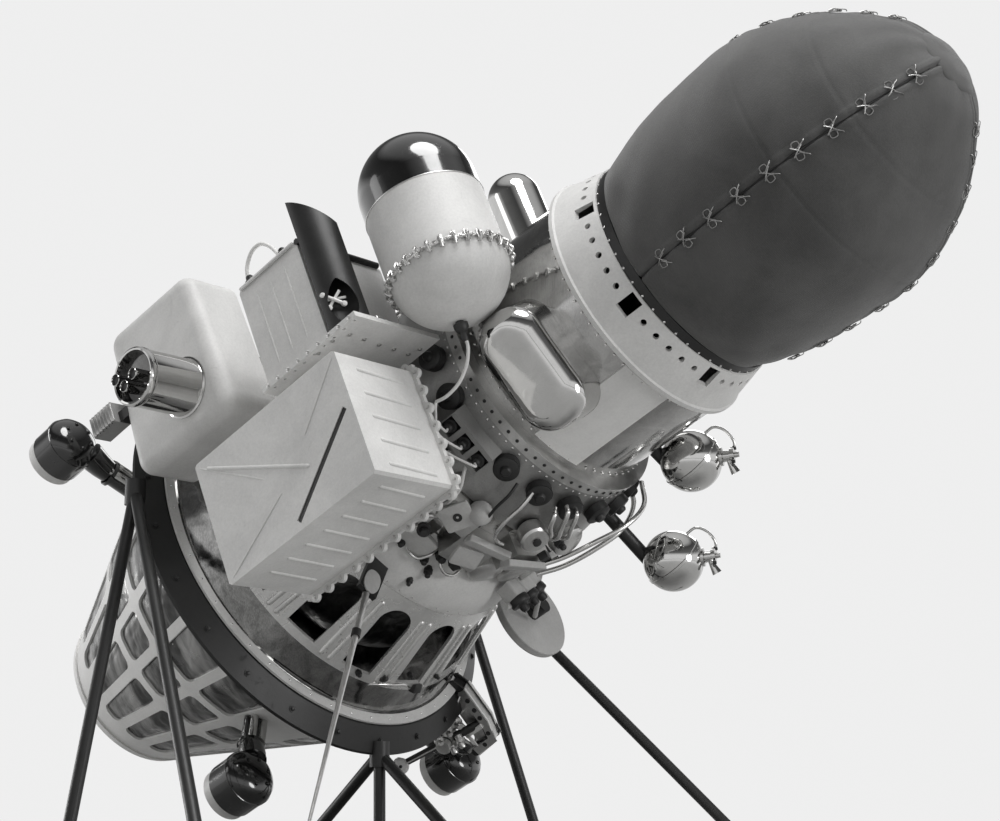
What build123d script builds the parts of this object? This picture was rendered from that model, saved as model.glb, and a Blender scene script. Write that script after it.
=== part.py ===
from build123d import *
from math import atan2, cos, degrees, hypot, radians, sin, sqrt, tan
import os

# Lunar lander lying back on its tubular display stand. Lengths in millimetres.
# The craft is drawn along its own long axis: Z toward the capsule, X toward its belly,
# Y away from the side with the ribbed housing, origin in the middle of the engine flange.
# The finished craft is then leaned over on the stand, whose feet stand on Z = 0.

# Attitude on the stand
LEAN = 24.81
FLANGE_HEIGHT = 766.0
GAP = 0.3

# Engine end
FLANGE_R = 491.0
FLANGE_WIDTH = 26.0
FLANGE_T = 6.0
FRAME_LOW_R = 460.0
FRAME_TOP_R = 360.0
FRAME_TOP_Z = 300.0
FRAME_WALL = 8.0
FOIL_TOP_Z = 72.0
LEG_COUNT = 16
LEG_TURN = -8.5
ARCH_WIDTH = 84.0
ARCH_FOOT_Z = 92.0
ARCH_TOP_Z = 267.0
BEAD_R = 7.0
BEAD_SPREAD = 12.5
BEAD_SUNK = 2.0
BEAD_LOW_Z = 86.0
BEAD_TOP_Z = 258.0

# Lattice skirt and main engine
SKIRT_NECK_R = 484.0
SKIRT_NECK_LENGTH = 36.0
SKIRT_TOP_R = 500.0
SKIRT_TOP_Z = -52.0
SKIRT_END_R = 208.0
SKIRT_END_Z = -758.0
SKIRT_WALL = 8.0
SKIRT_RIM_HEIGHT = 20.0
SKIRT_RIM_OUT = 5.0
RIM_BOLTS = 10
RIM_BOLT_R = 2.5
RIM_BOLT_DEPTH = 12.0
BAY_COUNT = 20
BAY_TURN = 6.0
BAR_WIDTH = 28.0
WINDOW_RADIUS = 20.0
SHUT_WINDOWS = (18,)
WINDOW_REACH = 40.0
RING_LINES = (-66.0, -280.0, -430.0, -687.0)
LINER_WALL = 3.0
NOZZLE_EXIT_R = 172.0
NOZZLE_THROAT_R = 48.0
NOZZLE_THROAT_Z = -190.0
NOZZLE_WALL = 8.0
NOZZLE_RECESS = 26.0
CHAMBER_R = 105.0
TANK_R = 318.0
TANK_HOLE_R = 120.0
TANK_TOP_Z = 286.0

# Body rings above the engine frame
SKIRT_FLARE_R = 362.0
SKIRT_FLARE_T = 6.0
FLARE_BULGE = 14.0
WAIST_R = 300.0
WAIST_LOW_Z = 420.0
WAIST_TOP_Z = 560.0
PORT_TOP_R = 318.0
PORT_FLARE = 22.0
PORT_LOW_R = PORT_TOP_R + PORT_FLARE
PORT_LOW_Z = 610.0
BODY_WALL = 6.0
BAY_FLANGE_R = 320.0
BAY_FLANGE_Z = 772.0
BAY_FLANGE_T = 28.0
BAY_R = 287.0
BAY_TOP_Z = 1091.0
LIP_R = 303.0
LIP_H = 10.0
BAND_R = 274.0
BAND_Z = 1203.0
BAND_H = 22.0
RING_WALL = 6.0
RING_WINDOW_COUNT = 7
RING_HOLE_GROUP = 5
RING_HOLE_D = 14.0
RING_HOLE_PITCH = 8.0
RING_WINDOW_W = 34.0
RING_WINDOW_H = 44.0
RING_TURN = -60.5

# Capsule cover
CAPSULE_BASE_R = 268.0
CAPSULE_R = 317.0
CAPSULE_LENGTH = 716.0
CAPSULE_SHOULDER = 322.0
NOSE_R = 230.0
COVER_T = 14.0

# Sockets round the port ring
SOCKET_D = 58.0
SOCKET_DEPTH = 20.0
SOCKET_PITCH = 17.0
SOCKET_SIDE = 5
SOCKET_TURN = -6.0
SOCKET_Z = 728.0
SOCKET_RIM = 9.0
SOCKET_FLOOR = 4.0

# Long box of square sockets on the port ring
SBOX_TURN = -57.0
SBOX_Z = 712.0
SBOX_LENGTH = 132.0
SBOX_WIDTH = 62.0
SBOX_OUT = 55.0
SBOX_SUNK = 15.0
SBOX_CELL = 34.0
SBOX_CELL_TALL = 40.0
SBOX_CELL_DEPTH = 20.0
SBOX_PITCH = 47.0

# White patch and rounded pod on the polished bay
PATCH_TURN = -28.5
PATCH_WIDTH = 128.0
PATCH_LOW_Z = 812.0
PATCH_TOP_Z = 1084.0
PATCH_T = 4.0
POD_TURN = -63.0
POD_Z = 938.0
POD_LENGTH = 282.0
POD_WIDTH = 160.0
POD_OUT = 98.0
POD_SUNK = 40.0
POD_CORNER = 72.0
POD_EDGE = 45.0

# Equipment seated in the waist: turn, height of its middle, width, height, distance out
WAIST_ROOT = 40.0
WAIST_ITEMS = (
    (-37, 567, 84, 66, 66),
    (-52, 500, 120, 110, 48),
    (-22, 492, 96, 84, 52),
    (4, 520, 120, 70, 48),
    (28, 486, 90, 110, 50),
    (62, 500, 140, 90, 44),
    (110, 500, 160, 110, 50),
    (180, 500, 180, 110, 44),
    (-110, 500, 160, 110, 44),
)

# Ribbed side housing and its scalloped flange
RIB_X0, RIB_X1 = 60.0, 355.0
RIB_Y0, RIB_Y1 = -680.0, -452.0
RIB_Z0, RIB_Z1 = 290.0, 745.0
RIB_CORNER = 6.0
RIB_FLANGE_T = 10.0
RIB_FLANGE_OUT = 8.0
LOBE_R = 12.0
LOBE_PITCH = 42.0
LOBE_HOLE_R = 3.0
RIB_BEAD_R = 5.0
RIB_BEAD_SUNK = 2.0
TOP_BEADS = 5
SIDE_BEADS = 8
RIB_BEAD_PITCH = 57.0
SLOT_WIDTH = 13.0
SLOT_DEPTH = 10.0
SLOT_ENDS = ((189.0, 724.0), (336.0, 520.0))

# Flat housing and the bolted shelf plate beside it
FLAT_X0, FLAT_X1 = -270.0, -18.0
FLAT_Y0, FLAT_Y1 = -620.0, -362.0
FLAT_Z0, FLAT_Z1 = 505.0, 698.0
FLAT_CORNER = 12.0
SHELF_T = 12.0
SHELF_OUT = 12.0
SHELF_INNER_Y = -372.0
SHELF_RISE = 92.0
SHELF_BOLT_R = 3.5
SHELF_BOLTS = 9

# Rounded housing, and the bright barrel on its face
ROUND_Y0, ROUND_Y1 = -600.0, -452.0
ROUND_CORNERS = ((-452, 58), (-446, 352), (-62, 372), (-74, 36))
ROUND_CORNER = 40.0
ROUND_EDGE = 34.0
ROUND_ARMS = ((-330, -290, 110, 160), (-250, -210, 300, 340))
ARM_ROOT = 150.0
BARREL_X, BARREL_Z = -184.0, 254.0
BARREL_R = 65.0
BARREL_LENGTH = 150.0
BARREL_EDGE = 6.0
BARREL_FOOT_R = 71.0
BARREL_FOOT_T = 4.0
TUBE_SPOTS = ((-7, -33), (22, -13), (11, 21))
SENSOR_TUBE_R = 13.0
SENSOR_BORE_R = 10.5
SENSOR_TUBE_LENGTH = 26.0

# Louvred box hung under the rounded housing
LOUVRE_X0, LOUVRE_X1 = -288.0, -236.0
LOUVRE_Y0, LOUVRE_Y1 = -612.0, -566.0
LOUVRE_Z0, LOUVRE_Z1 = -48.0, 30.0
LOUVRE_SLATS = 7
LOUVRE_CUT = 3.5

# Trough antenna on the shelf plate
TROUGH_CHORD = 92.0
TROUGH_DEPTH = 22.0
TROUGH_WALL = 2.5
TROUGH_LONG = 345.0
TROUGH_SHORT = 262.0
TROUGH_MOUTH = 122.0
TROUGH_MOUTH_WIDTH = 62.0
TROUGH_MOUTH_DROP = 8.0
TROUGH_STAND_OFF = 26.0
TROUGH_Z = 742.0
TROUGH_ROLL = 45.0

# White canister with its dark dome
CAN_R = 133.0
CAN_Y, CAN_Z = -431.0, 912.0
CAN_JOIN_X = -250.0
CAN_STRAIGHT = 157.0
DOME_STRAIGHT = 48.0
DOME_STEP = 1.0
CLIP_X = -79.0
CLIP_WIDTH = 8.0
CLIP_OUT = 5.0

# Bright canister behind the bay, gas bottles, far housing and dish
SECOND_R = 64.0
SECOND_Z = 879.0
SECOND_ROOT = 30.0
SECOND_STRAIGHT = 180.0
SPHERE_R = 72.0
SPHERE_DROP = 48.0
SPHERE_ARM_R = 16.0
SPHERES = ((262.0, 262.0, 895.0), (405.0, 350.0, 700.0))
FAR_X0, FAR_X1 = -260.0, 20.0
FAR_Y0, FAR_Y1 = 390.0, 580.0
FAR_Z0, FAR_Z1 = 300.0, 640.0
FAR_CORNER = 24.0
DISH_TURN = 62.0
DISH_OUT = 172.4
DISH_Z = 190.0
DISH_R = 118.0
DISH_T = 26.0
DISH_EDGE = 10.0
DISH_ARM_R = 15.0
DISH_BOSS_R = 20.0
DISH_BOSS_H = 45.0

# Channel bracket outboard of the engine flange, with the thruster rod it carries
OUTRIGGER_TURN = 41.0
OUTRIGGER_WIDTH = 40.0
OUTRIGGER_T = 5.0
OUTRIGGER_PATH = ((474.0, 6.0), (500.0, 12.0), (604.0, -4.0), (650.0, -22.0), (654.0, -84.0))
OUTRIGGER_BAR = 22.0
VALVE_R = 17.0
VALVE_LENGTH = 64.0
VALVE_TURN = 36.0
THRUSTER_TOP = (580.0, -98.0)
THRUSTER_END = (566.0, -262.0)
THRUSTER_R = 8.0
THRUSTER_CUP_R = 21.0
THRUSTER_CUP_H = 7.0

# Steering chambers on their arms
POT_R = 66.0
POT_SKIRT = 62.0
POT_RIM_H = 25.0
POT_RIM_T = 12.0
POT_Z = -186.0
ARM_Z = -200.0
ARM_R = 24.0
POTS = (
    # distance from the axis and turn from the belly: near upper, near lower, far lower, far upper
    (640.0, -120.0),
    (620.0, -28.0),
    (670.0, 45.0),
    (650.0, 145.0),
)

# Stand
HOOP_WALL = 9.0
HOOP_OUT_R = 548.0
HOOP_DROP = 34.0
HOOP_TOP_Z = -5.0
TUBE_R = 14.0
FOOT_R = 55.0
FOOT_H = 8.0
HUB_R = 24.0
HUB_H = 60.0
HUB_TURN = 100.0
PROP_TIP_R = 3.0
PROP_R = 8.0
PROP_FOOT = (580.0, -630.0, PROP_TIP_R)
PROP_LUG_T = 12.0
PROP_LUG_WIDTH = 50.0
PROP_LUG_ROOT = 60.0
PROP_LUG_LENGTH = 170.0
PROP_TURN = -41.5
PROP_LUG_Z = 329.0
FOOT_BOLTS = 3
FOOT_BOLT_CIRCLE = 84.0
FOOT_BOLT_R = 5.5
FEET_SIDE = ((50.0, 800.0), (650.0, 940.0))
FEET_CENTRE = (-100.0, 200.0, 500.0)
FLOOR_SPAN = 5000.0
FLOOR_DEPTH = 100.0

LOW = (Align.CENTER, Align.CENTER, Align.MIN)
HIGH = (Align.CENTER, Align.CENTER, Align.MAX)


def turned(outline):
    """A solid of revolution about the long axis from a closed outline of radius and height."""
    return revolve(Plane.XZ * make_face(Polyline(*outline, close=True)), Axis.Z)


def station(turn, reach, height):
    """A place at a turn from the belly: X round the body, Y along the axis, Z outward."""
    out = (cos(radians(turn)), sin(radians(turn)), 0)
    along = (-sin(radians(turn)), cos(radians(turn)), 0)
    return Plane(origin=(reach * out[0], reach * out[1], height), x_dir=along, z_dir=out)


def rod(start, end, radius, tip=None):
    """A round bar from one point to another, tapered where the tip radius differs."""
    run = Vector(*end) - Vector(*start)
    seat = Plane(origin=start, z_dir=run)
    if tip is None:
        return seat * Cylinder(radius, run.length, align=LOW)
    return seat * Cone(radius, tip, run.length, align=LOW)


def bead(start, end, radius):
    """A round-ended bar, which stands out as a pressed bead where it lies half sunk in a sheet."""
    return rod(start, end, radius) + Pos(*start) * Sphere(radius) + Pos(*end) * Sphere(radius)


def block(x0, x1, y0, y1, z0, z1):
    """A box between opposite corners in the craft's own axes."""
    size = Box(x1 - x0, y1 - y0, z1 - z0)
    return Pos((x0 + x1) / 2, (y0 + y1) / 2, (z0 + z1) / 2) * size


def round_ended(radius, straight):
    """A cylinder closed at its far end by half a ball, standing on Z = 0."""
    outline = Polyline((0, 0), (radius, 0), (radius, straight))
    outline += RadiusArc((radius, straight), (0, straight + radius), -radius)
    outline += Line((0, straight + radius), (0, 0))
    return revolve(Plane.XZ * make_face(outline), Axis.Z)


def cone_radius(height, low_z, low_r, top_z, top_r):
    return low_r + (height - low_z) * (top_r - low_r) / (top_z - low_z)


def frame_radius(height):
    return cone_radius(height, 0, FRAME_LOW_R, FRAME_TOP_Z, FRAME_TOP_R)


def skirt_radius(height):
    return cone_radius(height, SKIRT_TOP_Z, SKIRT_TOP_R, SKIRT_END_Z, SKIRT_END_R)


def skirt_inside(height):
    high = (SKIRT_TOP_Z - 4, SKIRT_TOP_R - SKIRT_WALL - 1)
    return cone_radius(height, *high, SKIRT_END_Z, SKIRT_END_R - SKIRT_WALL)


def port_radius(height):
    return cone_radius(height, PORT_LOW_Z, PORT_LOW_R, BAY_FLANGE_Z, PORT_TOP_R)


# The craft's long axis leans back, its flange centre standing over the stand's own origin
lean = radians(LEAN)
belly_dir = (sin(lean), 0, -cos(lean))
capsule_dir = (cos(lean), 0, sin(lean))
attitude = Plane(origin=(0, 0, FLANGE_HEIGHT), x_dir=belly_dir, z_dir=capsule_dir)
craft = {}
placed = {}

# Envelope of the body, grown by the seating gap, that cuts what is seated on it
FLARE_MID_Z = (FRAME_TOP_Z + WAIST_LOW_Z) / 2
FLARE_MID_R = SKIRT_FLARE_R - FLARE_BULGE
envelope_low = Polyline(
    (0, BAY_TOP_Z),
    (0, SKIRT_END_Z),
    (SKIRT_END_R + GAP, SKIRT_END_Z),
    (SKIRT_TOP_R + GAP, SKIRT_TOP_Z),
    (FLANGE_R + GAP, -FLANGE_T / 2 - GAP),
    (FLANGE_R + GAP, FLANGE_T / 2 + GAP),
    (FRAME_LOW_R + GAP, FLANGE_T / 2 + GAP),
    (FRAME_TOP_R + GAP, FRAME_TOP_Z - GAP),
    (SKIRT_FLARE_R + GAP, FRAME_TOP_Z - GAP),
    (SKIRT_FLARE_R + GAP, FRAME_TOP_Z + SKIRT_FLARE_T),
)
envelope_arc = ThreePointArc(
    (SKIRT_FLARE_R + GAP, FRAME_TOP_Z + SKIRT_FLARE_T),
    (FLARE_MID_R + GAP, FLARE_MID_Z),
    (WAIST_R + SKIRT_FLARE_T + GAP, WAIST_LOW_Z),
)
envelope_high = Polyline(
    (WAIST_R + SKIRT_FLARE_T + GAP, WAIST_LOW_Z),
    (WAIST_R + GAP, WAIST_LOW_Z),
    (WAIST_R + GAP, WAIST_TOP_Z),
    (PORT_LOW_R + GAP, PORT_LOW_Z),
    (PORT_TOP_R + GAP, BAY_FLANGE_Z - GAP),
    (BAY_FLANGE_R + GAP, BAY_FLANGE_Z - GAP),
    (BAY_FLANGE_R + GAP, BAY_FLANGE_Z + BAY_FLANGE_T + GAP),
    (BAY_R + GAP, BAY_FLANGE_Z + BAY_FLANGE_T + GAP),
    (BAY_R + GAP, BAY_TOP_Z),
    (0, BAY_TOP_Z),
)
envelope = revolve(Plane.XZ * make_face(envelope_low + envelope_arc + envelope_high), Axis.Z)

# Engine flange, deck and foil-wrapped base
craft["deck_flange"] = turned(
    (
        (FLANGE_R - FLANGE_WIDTH, -FLANGE_T / 2),
        (FLANGE_R, -FLANGE_T / 2),
        (FLANGE_R, FLANGE_T / 2),
        (FLANGE_R - FLANGE_WIDTH, FLANGE_T / 2),
    )
)
deck_r = FLANGE_R - FLANGE_WIDTH
deck_hole_r = CHAMBER_R + 5
craft["engine_deck"] = turned(
    (
        (deck_hole_r, -FLANGE_T / 2),
        (deck_r, -FLANGE_T / 2),
        (deck_r, FLANGE_T / 2),
        (deck_hole_r, FLANGE_T / 2),
    )
)
foil_low = FLANGE_T / 2
craft["foil_base"] = turned(
    (
        (frame_radius(foil_low) - FRAME_WALL, foil_low),
        (frame_radius(foil_low), foil_low),
        (frame_radius(FOIL_TOP_Z), FOIL_TOP_Z),
        (frame_radius(FOIL_TOP_Z) - FRAME_WALL, FOIL_TOP_Z),
    )
)

# Engine frame: a cone opened by round-topped arches, with two pressed beads up each leg
frame = turned(
    (
        (frame_radius(FOIL_TOP_Z) - FRAME_WALL, FOIL_TOP_Z),
        (frame_radius(FOIL_TOP_Z), FOIL_TOP_Z),
        (FRAME_TOP_R, FRAME_TOP_Z),
        (FRAME_TOP_R - FRAME_WALL, FRAME_TOP_Z),
    )
)
arch_r = ARCH_WIDTH / 2
arch_outline = Pos(0, ARCH_TOP_Z - arch_r) * Circle(arch_r)
arch_straight = ARCH_TOP_Z - arch_r - ARCH_FOOT_Z
arch_outline += Pos(0, ARCH_FOOT_Z + arch_straight / 2) * Rectangle(ARCH_WIDTH, arch_straight)
leg_pitch = 360 / LEG_COUNT
arches = []
for index in range(LEG_COUNT):
    turn = LEG_TURN + (index + 0.5) * leg_pitch
    arches.append(extrude(station(turn, FRAME_TOP_R - 60, 0) * arch_outline, 180))
leg_beads, bead_room = [], []
for index in range(LEG_COUNT):
    for side in (-1, 1):
        ends = []
        for height in (BEAD_LOW_Z, BEAD_TOP_Z):
            reach = frame_radius(height) - BEAD_SUNK
            turn = LEG_TURN + index * leg_pitch + side * degrees(BEAD_SPREAD / reach)
            ends.append((reach * cos(radians(turn)), reach * sin(radians(turn)), height))
        leg_beads.append(bead(*ends, BEAD_R))
        bead_room.append(bead(*ends, BEAD_R + GAP))
craft["engine_frame"] = (frame - arches) + leg_beads

# Ring-shaped tank inside the frame
tank_mid = (TANK_R + TANK_HOLE_R) / 2
tank_w = TANK_R - TANK_HOLE_R
tank_h = TANK_TOP_Z - FLANGE_T
tank_round = tank_w * 0.4
tank_face = Plane.XZ * (Pos(tank_mid, (FLANGE_T + tank_h) / 2) * RectangleRounded(tank_w, tank_h, tank_round))
craft["engine_tank"] = revolve(tank_face, Axis.Z)

# Lattice skirt: conical shell with rounded windows between ring and upright bars
neck_low = -FLANGE_T / 2
rim_top = SKIRT_END_Z + SKIRT_RIM_HEIGHT
skirt_shell = turned(
    (
        (SKIRT_NECK_R - SKIRT_WALL, neck_low),
        (SKIRT_NECK_R, neck_low),
        (SKIRT_NECK_R, -SKIRT_NECK_LENGTH),
        (SKIRT_TOP_R, SKIRT_TOP_Z),
        (skirt_radius(rim_top), rim_top),
        (skirt_radius(rim_top) + SKIRT_RIM_OUT, rim_top),
        (SKIRT_END_R + SKIRT_RIM_OUT, SKIRT_END_Z),
        (SKIRT_END_R - SKIRT_WALL, SKIRT_END_Z),
        (skirt_inside(SKIRT_TOP_Z - 4), SKIRT_TOP_Z - 4),
        (SKIRT_NECK_R - SKIRT_WALL, -SKIRT_NECK_LENGTH - 4),
    )
)
skirt_slope = degrees(atan2(SKIRT_TOP_R - SKIRT_END_R, SKIRT_TOP_Z - SKIRT_END_Z))
bay_pitch = 360 / BAY_COUNT
windows = []
for row, (top_line, low_line) in enumerate(zip(RING_LINES, RING_LINES[1:])):
    top_z = top_line - BAR_WIDTH / 2
    low_z = low_line + BAR_WIDTH / 2
    middle = (top_z + low_z) / 2
    half_slant = (top_z - low_z) / cos(radians(skirt_slope)) / 2
    half_top = skirt_radius(top_z) * tan(radians(bay_pitch / 2)) - BAR_WIDTH / 2
    half_low = skirt_radius(low_z) * tan(radians(bay_pitch / 2)) - BAR_WIDTH / 2
    corners = (
        (-half_low, -half_slant),
        (half_low, -half_slant),
        (half_top, half_slant),
        (-half_top, half_slant),
    )
    pane = make_face(Polyline(*corners, close=True))
    pane = fillet(pane.vertices(), WINDOW_RADIUS)
    cutter = extrude(pane, WINDOW_REACH, both=True)
    for index in range(BAY_COUNT):
        if row == 0 and index in SHUT_WINDOWS:
            continue
        turn = (index + 0.5) * bay_pitch
        seat = station(turn, skirt_radius(middle), middle)
        windows.append(seat * Rot(X=skirt_slope) * cutter)
rim_mid_r = SKIRT_END_R + (SKIRT_RIM_OUT - SKIRT_WALL) / 2
for index in range(RIM_BOLTS):
    seat = Rot(Z=index * 360 / RIM_BOLTS) * Pos(rim_mid_r, 0, SKIRT_END_Z + RIM_BOLT_DEPTH / 2)
    skirt_shell -= seat * Cylinder(RIM_BOLT_R, RIM_BOLT_DEPTH)
craft["skirt_lattice"] = Rot(Z=BAY_TURN) * skirt_shell
skirt_windows = [Rot(Z=BAY_TURN) * window for window in windows]
liner_top = -SKIRT_NECK_LENGTH - 22
liner_low = rim_top
liner_fit = GAP + 0.05
craft["skirt_liner"] = turned(
    (
        (skirt_inside(liner_top) - liner_fit - LINER_WALL, liner_top),
        (skirt_inside(liner_top) - liner_fit, liner_top),
        (skirt_inside(liner_low) - liner_fit, liner_low),
        (skirt_inside(liner_low) - liner_fit - LINER_WALL, liner_low),
    )
)

# Main engine: chamber through the deck, throat and bell
exit_z = SKIRT_END_Z + NOZZLE_RECESS
bell_mid_z = (NOZZLE_THROAT_Z * 3 + exit_z * 2) / 5
bell_mid_r = NOZZLE_THROAT_R + (NOZZLE_EXIT_R - NOZZLE_THROAT_R) * 0.55
bell_edges = ThreePointArc(
    (NOZZLE_THROAT_R + NOZZLE_WALL, NOZZLE_THROAT_Z),
    (bell_mid_r + NOZZLE_WALL, bell_mid_z),
    (NOZZLE_EXIT_R, exit_z),
)
bell_edges += Line((NOZZLE_EXIT_R, exit_z), (NOZZLE_EXIT_R - NOZZLE_WALL, exit_z))
bell_edges += ThreePointArc(
    (NOZZLE_EXIT_R - NOZZLE_WALL, exit_z), (bell_mid_r, bell_mid_z), (NOZZLE_THROAT_R, NOZZLE_THROAT_Z)
)
bell_edges += Line((NOZZLE_THROAT_R, NOZZLE_THROAT_Z), (NOZZLE_THROAT_R + NOZZLE_WALL, NOZZLE_THROAT_Z))
bell = revolve(Plane.XZ * make_face(bell_edges), Axis.Z)
chamber_low = NOZZLE_THROAT_Z + 60
chamber = turned(
    (
        (0, 30),
        (CHAMBER_R - 30, 30),
        (CHAMBER_R, 0),
        (CHAMBER_R, chamber_low),
        (NOZZLE_THROAT_R + NOZZLE_WALL, NOZZLE_THROAT_Z),
        (NOZZLE_THROAT_R, NOZZLE_THROAT_Z),
        (0, NOZZLE_THROAT_Z + 20),
    )
)
collar_low = -FLANGE_T / 2 - 12
collar_top = -FLANGE_T / 2 - GAP
collar = turned(
    (
        (CHAMBER_R - 1, collar_low),
        (CHAMBER_R + 30, collar_low),
        (CHAMBER_R + 30, collar_top),
        (CHAMBER_R - 1, collar_top),
    )
)
craft["engine_nozzle"] = bell + chamber + collar

# Flared skirt of the control bay
flare_top = WAIST_LOW_Z
flare_out = ThreePointArc(
    (SKIRT_FLARE_R, FRAME_TOP_Z + SKIRT_FLARE_T),
    (FLARE_MID_R, FLARE_MID_Z),
    (WAIST_R + SKIRT_FLARE_T, flare_top),
)
flare_in = ThreePointArc(
    (WAIST_R, flare_top),
    (FLARE_MID_R - SKIRT_FLARE_T, FLARE_MID_Z - 3),
    (SKIRT_FLARE_R - SKIRT_FLARE_T, FRAME_TOP_Z),
)
flare_edges = flare_out + Line((WAIST_R + SKIRT_FLARE_T, flare_top), (WAIST_R, flare_top)) + flare_in
flare_edges += Polyline(
    (SKIRT_FLARE_R - SKIRT_FLARE_T, FRAME_TOP_Z),
    (SKIRT_FLARE_R, FRAME_TOP_Z),
    (SKIRT_FLARE_R, FRAME_TOP_Z + SKIRT_FLARE_T),
)
craft["flared_skirt"] = revolve(Plane.XZ * make_face(flare_edges), Axis.Z)

# Waist of the control bay, and the port ring above it
craft["control_bay"] = turned(
    (
        (WAIST_R - BODY_WALL, flare_top),
        (WAIST_R, flare_top),
        (WAIST_R, WAIST_TOP_Z),
        (PORT_LOW_R, PORT_LOW_Z),
        (PORT_LOW_R - BODY_WALL - 2, PORT_LOW_Z),
        (WAIST_R - BODY_WALL, WAIST_TOP_Z + 4),
    )
)
craft["port_ring"] = turned(
    (
        (PORT_LOW_R - BODY_WALL, PORT_LOW_Z),
        (PORT_LOW_R, PORT_LOW_Z),
        (PORT_TOP_R, BAY_FLANGE_Z),
        (PORT_TOP_R - BODY_WALL, BAY_FLANGE_Z),
    )
)
craft["bay_flange"] = turned(
    (
        (BAY_R - 20, BAY_FLANGE_Z),
        (BAY_FLANGE_R, BAY_FLANGE_Z),
        (BAY_FLANGE_R, BAY_FLANGE_Z + BAY_FLANGE_T),
        (BAY_R - 20, BAY_FLANGE_Z + BAY_FLANGE_T),
    )
)
bay_low = BAY_FLANGE_Z + BAY_FLANGE_T
craft["instrument_bay"] = turned(
    (
        (BAY_R - BODY_WALL, bay_low),
        (BAY_R, bay_low),
        (BAY_R, BAY_TOP_Z),
        (0, BAY_TOP_Z),
        (0, BAY_TOP_Z - BODY_WALL),
        (BAY_R - BODY_WALL, BAY_TOP_Z - BODY_WALL),
    )
)

# Perforated payload ring with its rolled lip
ring_shell = turned(
    (
        (BAY_R - RING_WALL, BAY_TOP_Z),
        (LIP_R, BAY_TOP_Z),
        (LIP_R, BAY_TOP_Z + LIP_H),
        (LIP_R - 5, BAY_TOP_Z + LIP_H + 3),
        (BAND_R, BAND_Z),
        (BAND_R - RING_WALL, BAND_Z),
        (BAY_R - RING_WALL, BAY_TOP_Z + RING_WALL),
        (LIP_R - RING_WALL - 6, BAY_TOP_Z + LIP_H + 3),
    )
)
ring_cuts = []
ring_mid = BAND_Z - 28
window_pitch = 360 / RING_WINDOW_COUNT
for index in range(RING_WINDOW_COUNT):
    turn = RING_TURN + index * window_pitch
    ring_cuts.append(station(turn, BAND_R, ring_mid) * Box(RING_WINDOW_W, RING_WINDOW_H, 90))
    for hole in range(RING_HOLE_GROUP):
        offset = (hole - (RING_HOLE_GROUP - 1) / 2) * RING_HOLE_PITCH
        seat = station(turn + window_pitch / 2 + offset, BAND_R, ring_mid)
        ring_cuts.append(seat * Cylinder(RING_HOLE_D / 2, 90))
craft["payload_ring"] = ring_shell - ring_cuts
craft["capsule_band"] = turned(
    (
        (BAND_R - 24, BAND_Z),
        (BAND_R - 4, BAND_Z),
        (BAND_R - 4, BAND_Z + BAND_H),
        (BAND_R - 24, BAND_Z + BAND_H),
    )
)

# Egg-shaped padded cover of the capsule
cover_z = BAND_Z + BAND_H
cover_end = cover_z + CAPSULE_LENGTH
shoulder_z = cover_z + CAPSULE_SHOULDER
nose_mid = (0, cover_end - NOSE_R)
nose_gap = cover_end - NOSE_R - shoulder_z
side_r = (CAPSULE_R**2 + nose_gap**2 - NOSE_R**2) / 2 / (CAPSULE_R - NOSE_R)
side_mid = (CAPSULE_R - side_r, shoulder_z)
join_turn = atan2(nose_mid[1] - side_mid[1], nose_mid[0] - side_mid[0])


def egg_outline(inset):
    """The cover's outline, moved in by an inset: flank, side arc and nose arc, tangent to each other."""
    join = (nose_mid[0] + (NOSE_R - inset) * cos(join_turn), nose_mid[1] + (NOSE_R - inset) * sin(join_turn))
    half = join_turn / 2
    side_part = (side_mid[0] + (side_r - inset) * cos(half), side_mid[1] + (side_r - inset) * sin(half))
    nose_turn = (join_turn + radians(90)) / 2
    nose_r = NOSE_R - inset
    nose_part = (nose_mid[0] + nose_r * cos(nose_turn), nose_mid[1] + nose_r * sin(nose_turn))
    low_point = (CAPSULE_BASE_R - inset, cover_z + inset)
    flank_part = (CAPSULE_R * 0.96 - inset, cover_z + CAPSULE_SHOULDER * 0.42)
    shoulder = (CAPSULE_R - inset, shoulder_z)
    curve = ThreePointArc(low_point, flank_part, shoulder)
    curve += ThreePointArc(shoulder, side_part, join)
    curve += ThreePointArc(join, nose_part, (0, cover_end - inset))
    return curve + Polyline((0, cover_end - inset), (0, cover_z + inset), low_point)


cover_solid = revolve(Plane.XZ * make_face(egg_outline(0)), Axis.Z)
cover_hollow = revolve(Plane.XZ * make_face(egg_outline(COVER_T)), Axis.Z)
craft["capsule_cover"] = cover_solid - cover_hollow

# White patch and rounded pod on the polished bay
patch = turned(
    (
        (BAY_R + GAP, PATCH_LOW_Z),
        (BAY_R + PATCH_T, PATCH_LOW_Z),
        (BAY_R + PATCH_T, PATCH_TOP_Z),
        (BAY_R + GAP, PATCH_TOP_Z),
    )
)
patch_mid = (PATCH_LOW_Z + PATCH_TOP_Z) / 2
patch_tall = PATCH_TOP_Z - PATCH_LOW_Z
patch &= station(PATCH_TURN, BAY_R, patch_mid) * Box(PATCH_WIDTH, patch_tall, 2 * POD_SUNK)
pod_plan = RectangleRounded(POD_LENGTH + 2 * GAP, POD_WIDTH + 2 * GAP, POD_CORNER + GAP)
craft["bay_patch"] = patch - station(POD_TURN, BAY_R, POD_Z) * extrude(pod_plan, POD_SUNK, both=True)
pod_block = Pos(0, 0, -POD_SUNK) * Box(POD_LENGTH, POD_WIDTH, POD_OUT + POD_SUNK, align=LOW)
pod_block = fillet(pod_block.edges().filter_by(Axis.Z), POD_CORNER)
pod_block = fillet(pod_block.faces().sort_by(Axis.Z)[-1].edges(), POD_EDGE)
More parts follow.
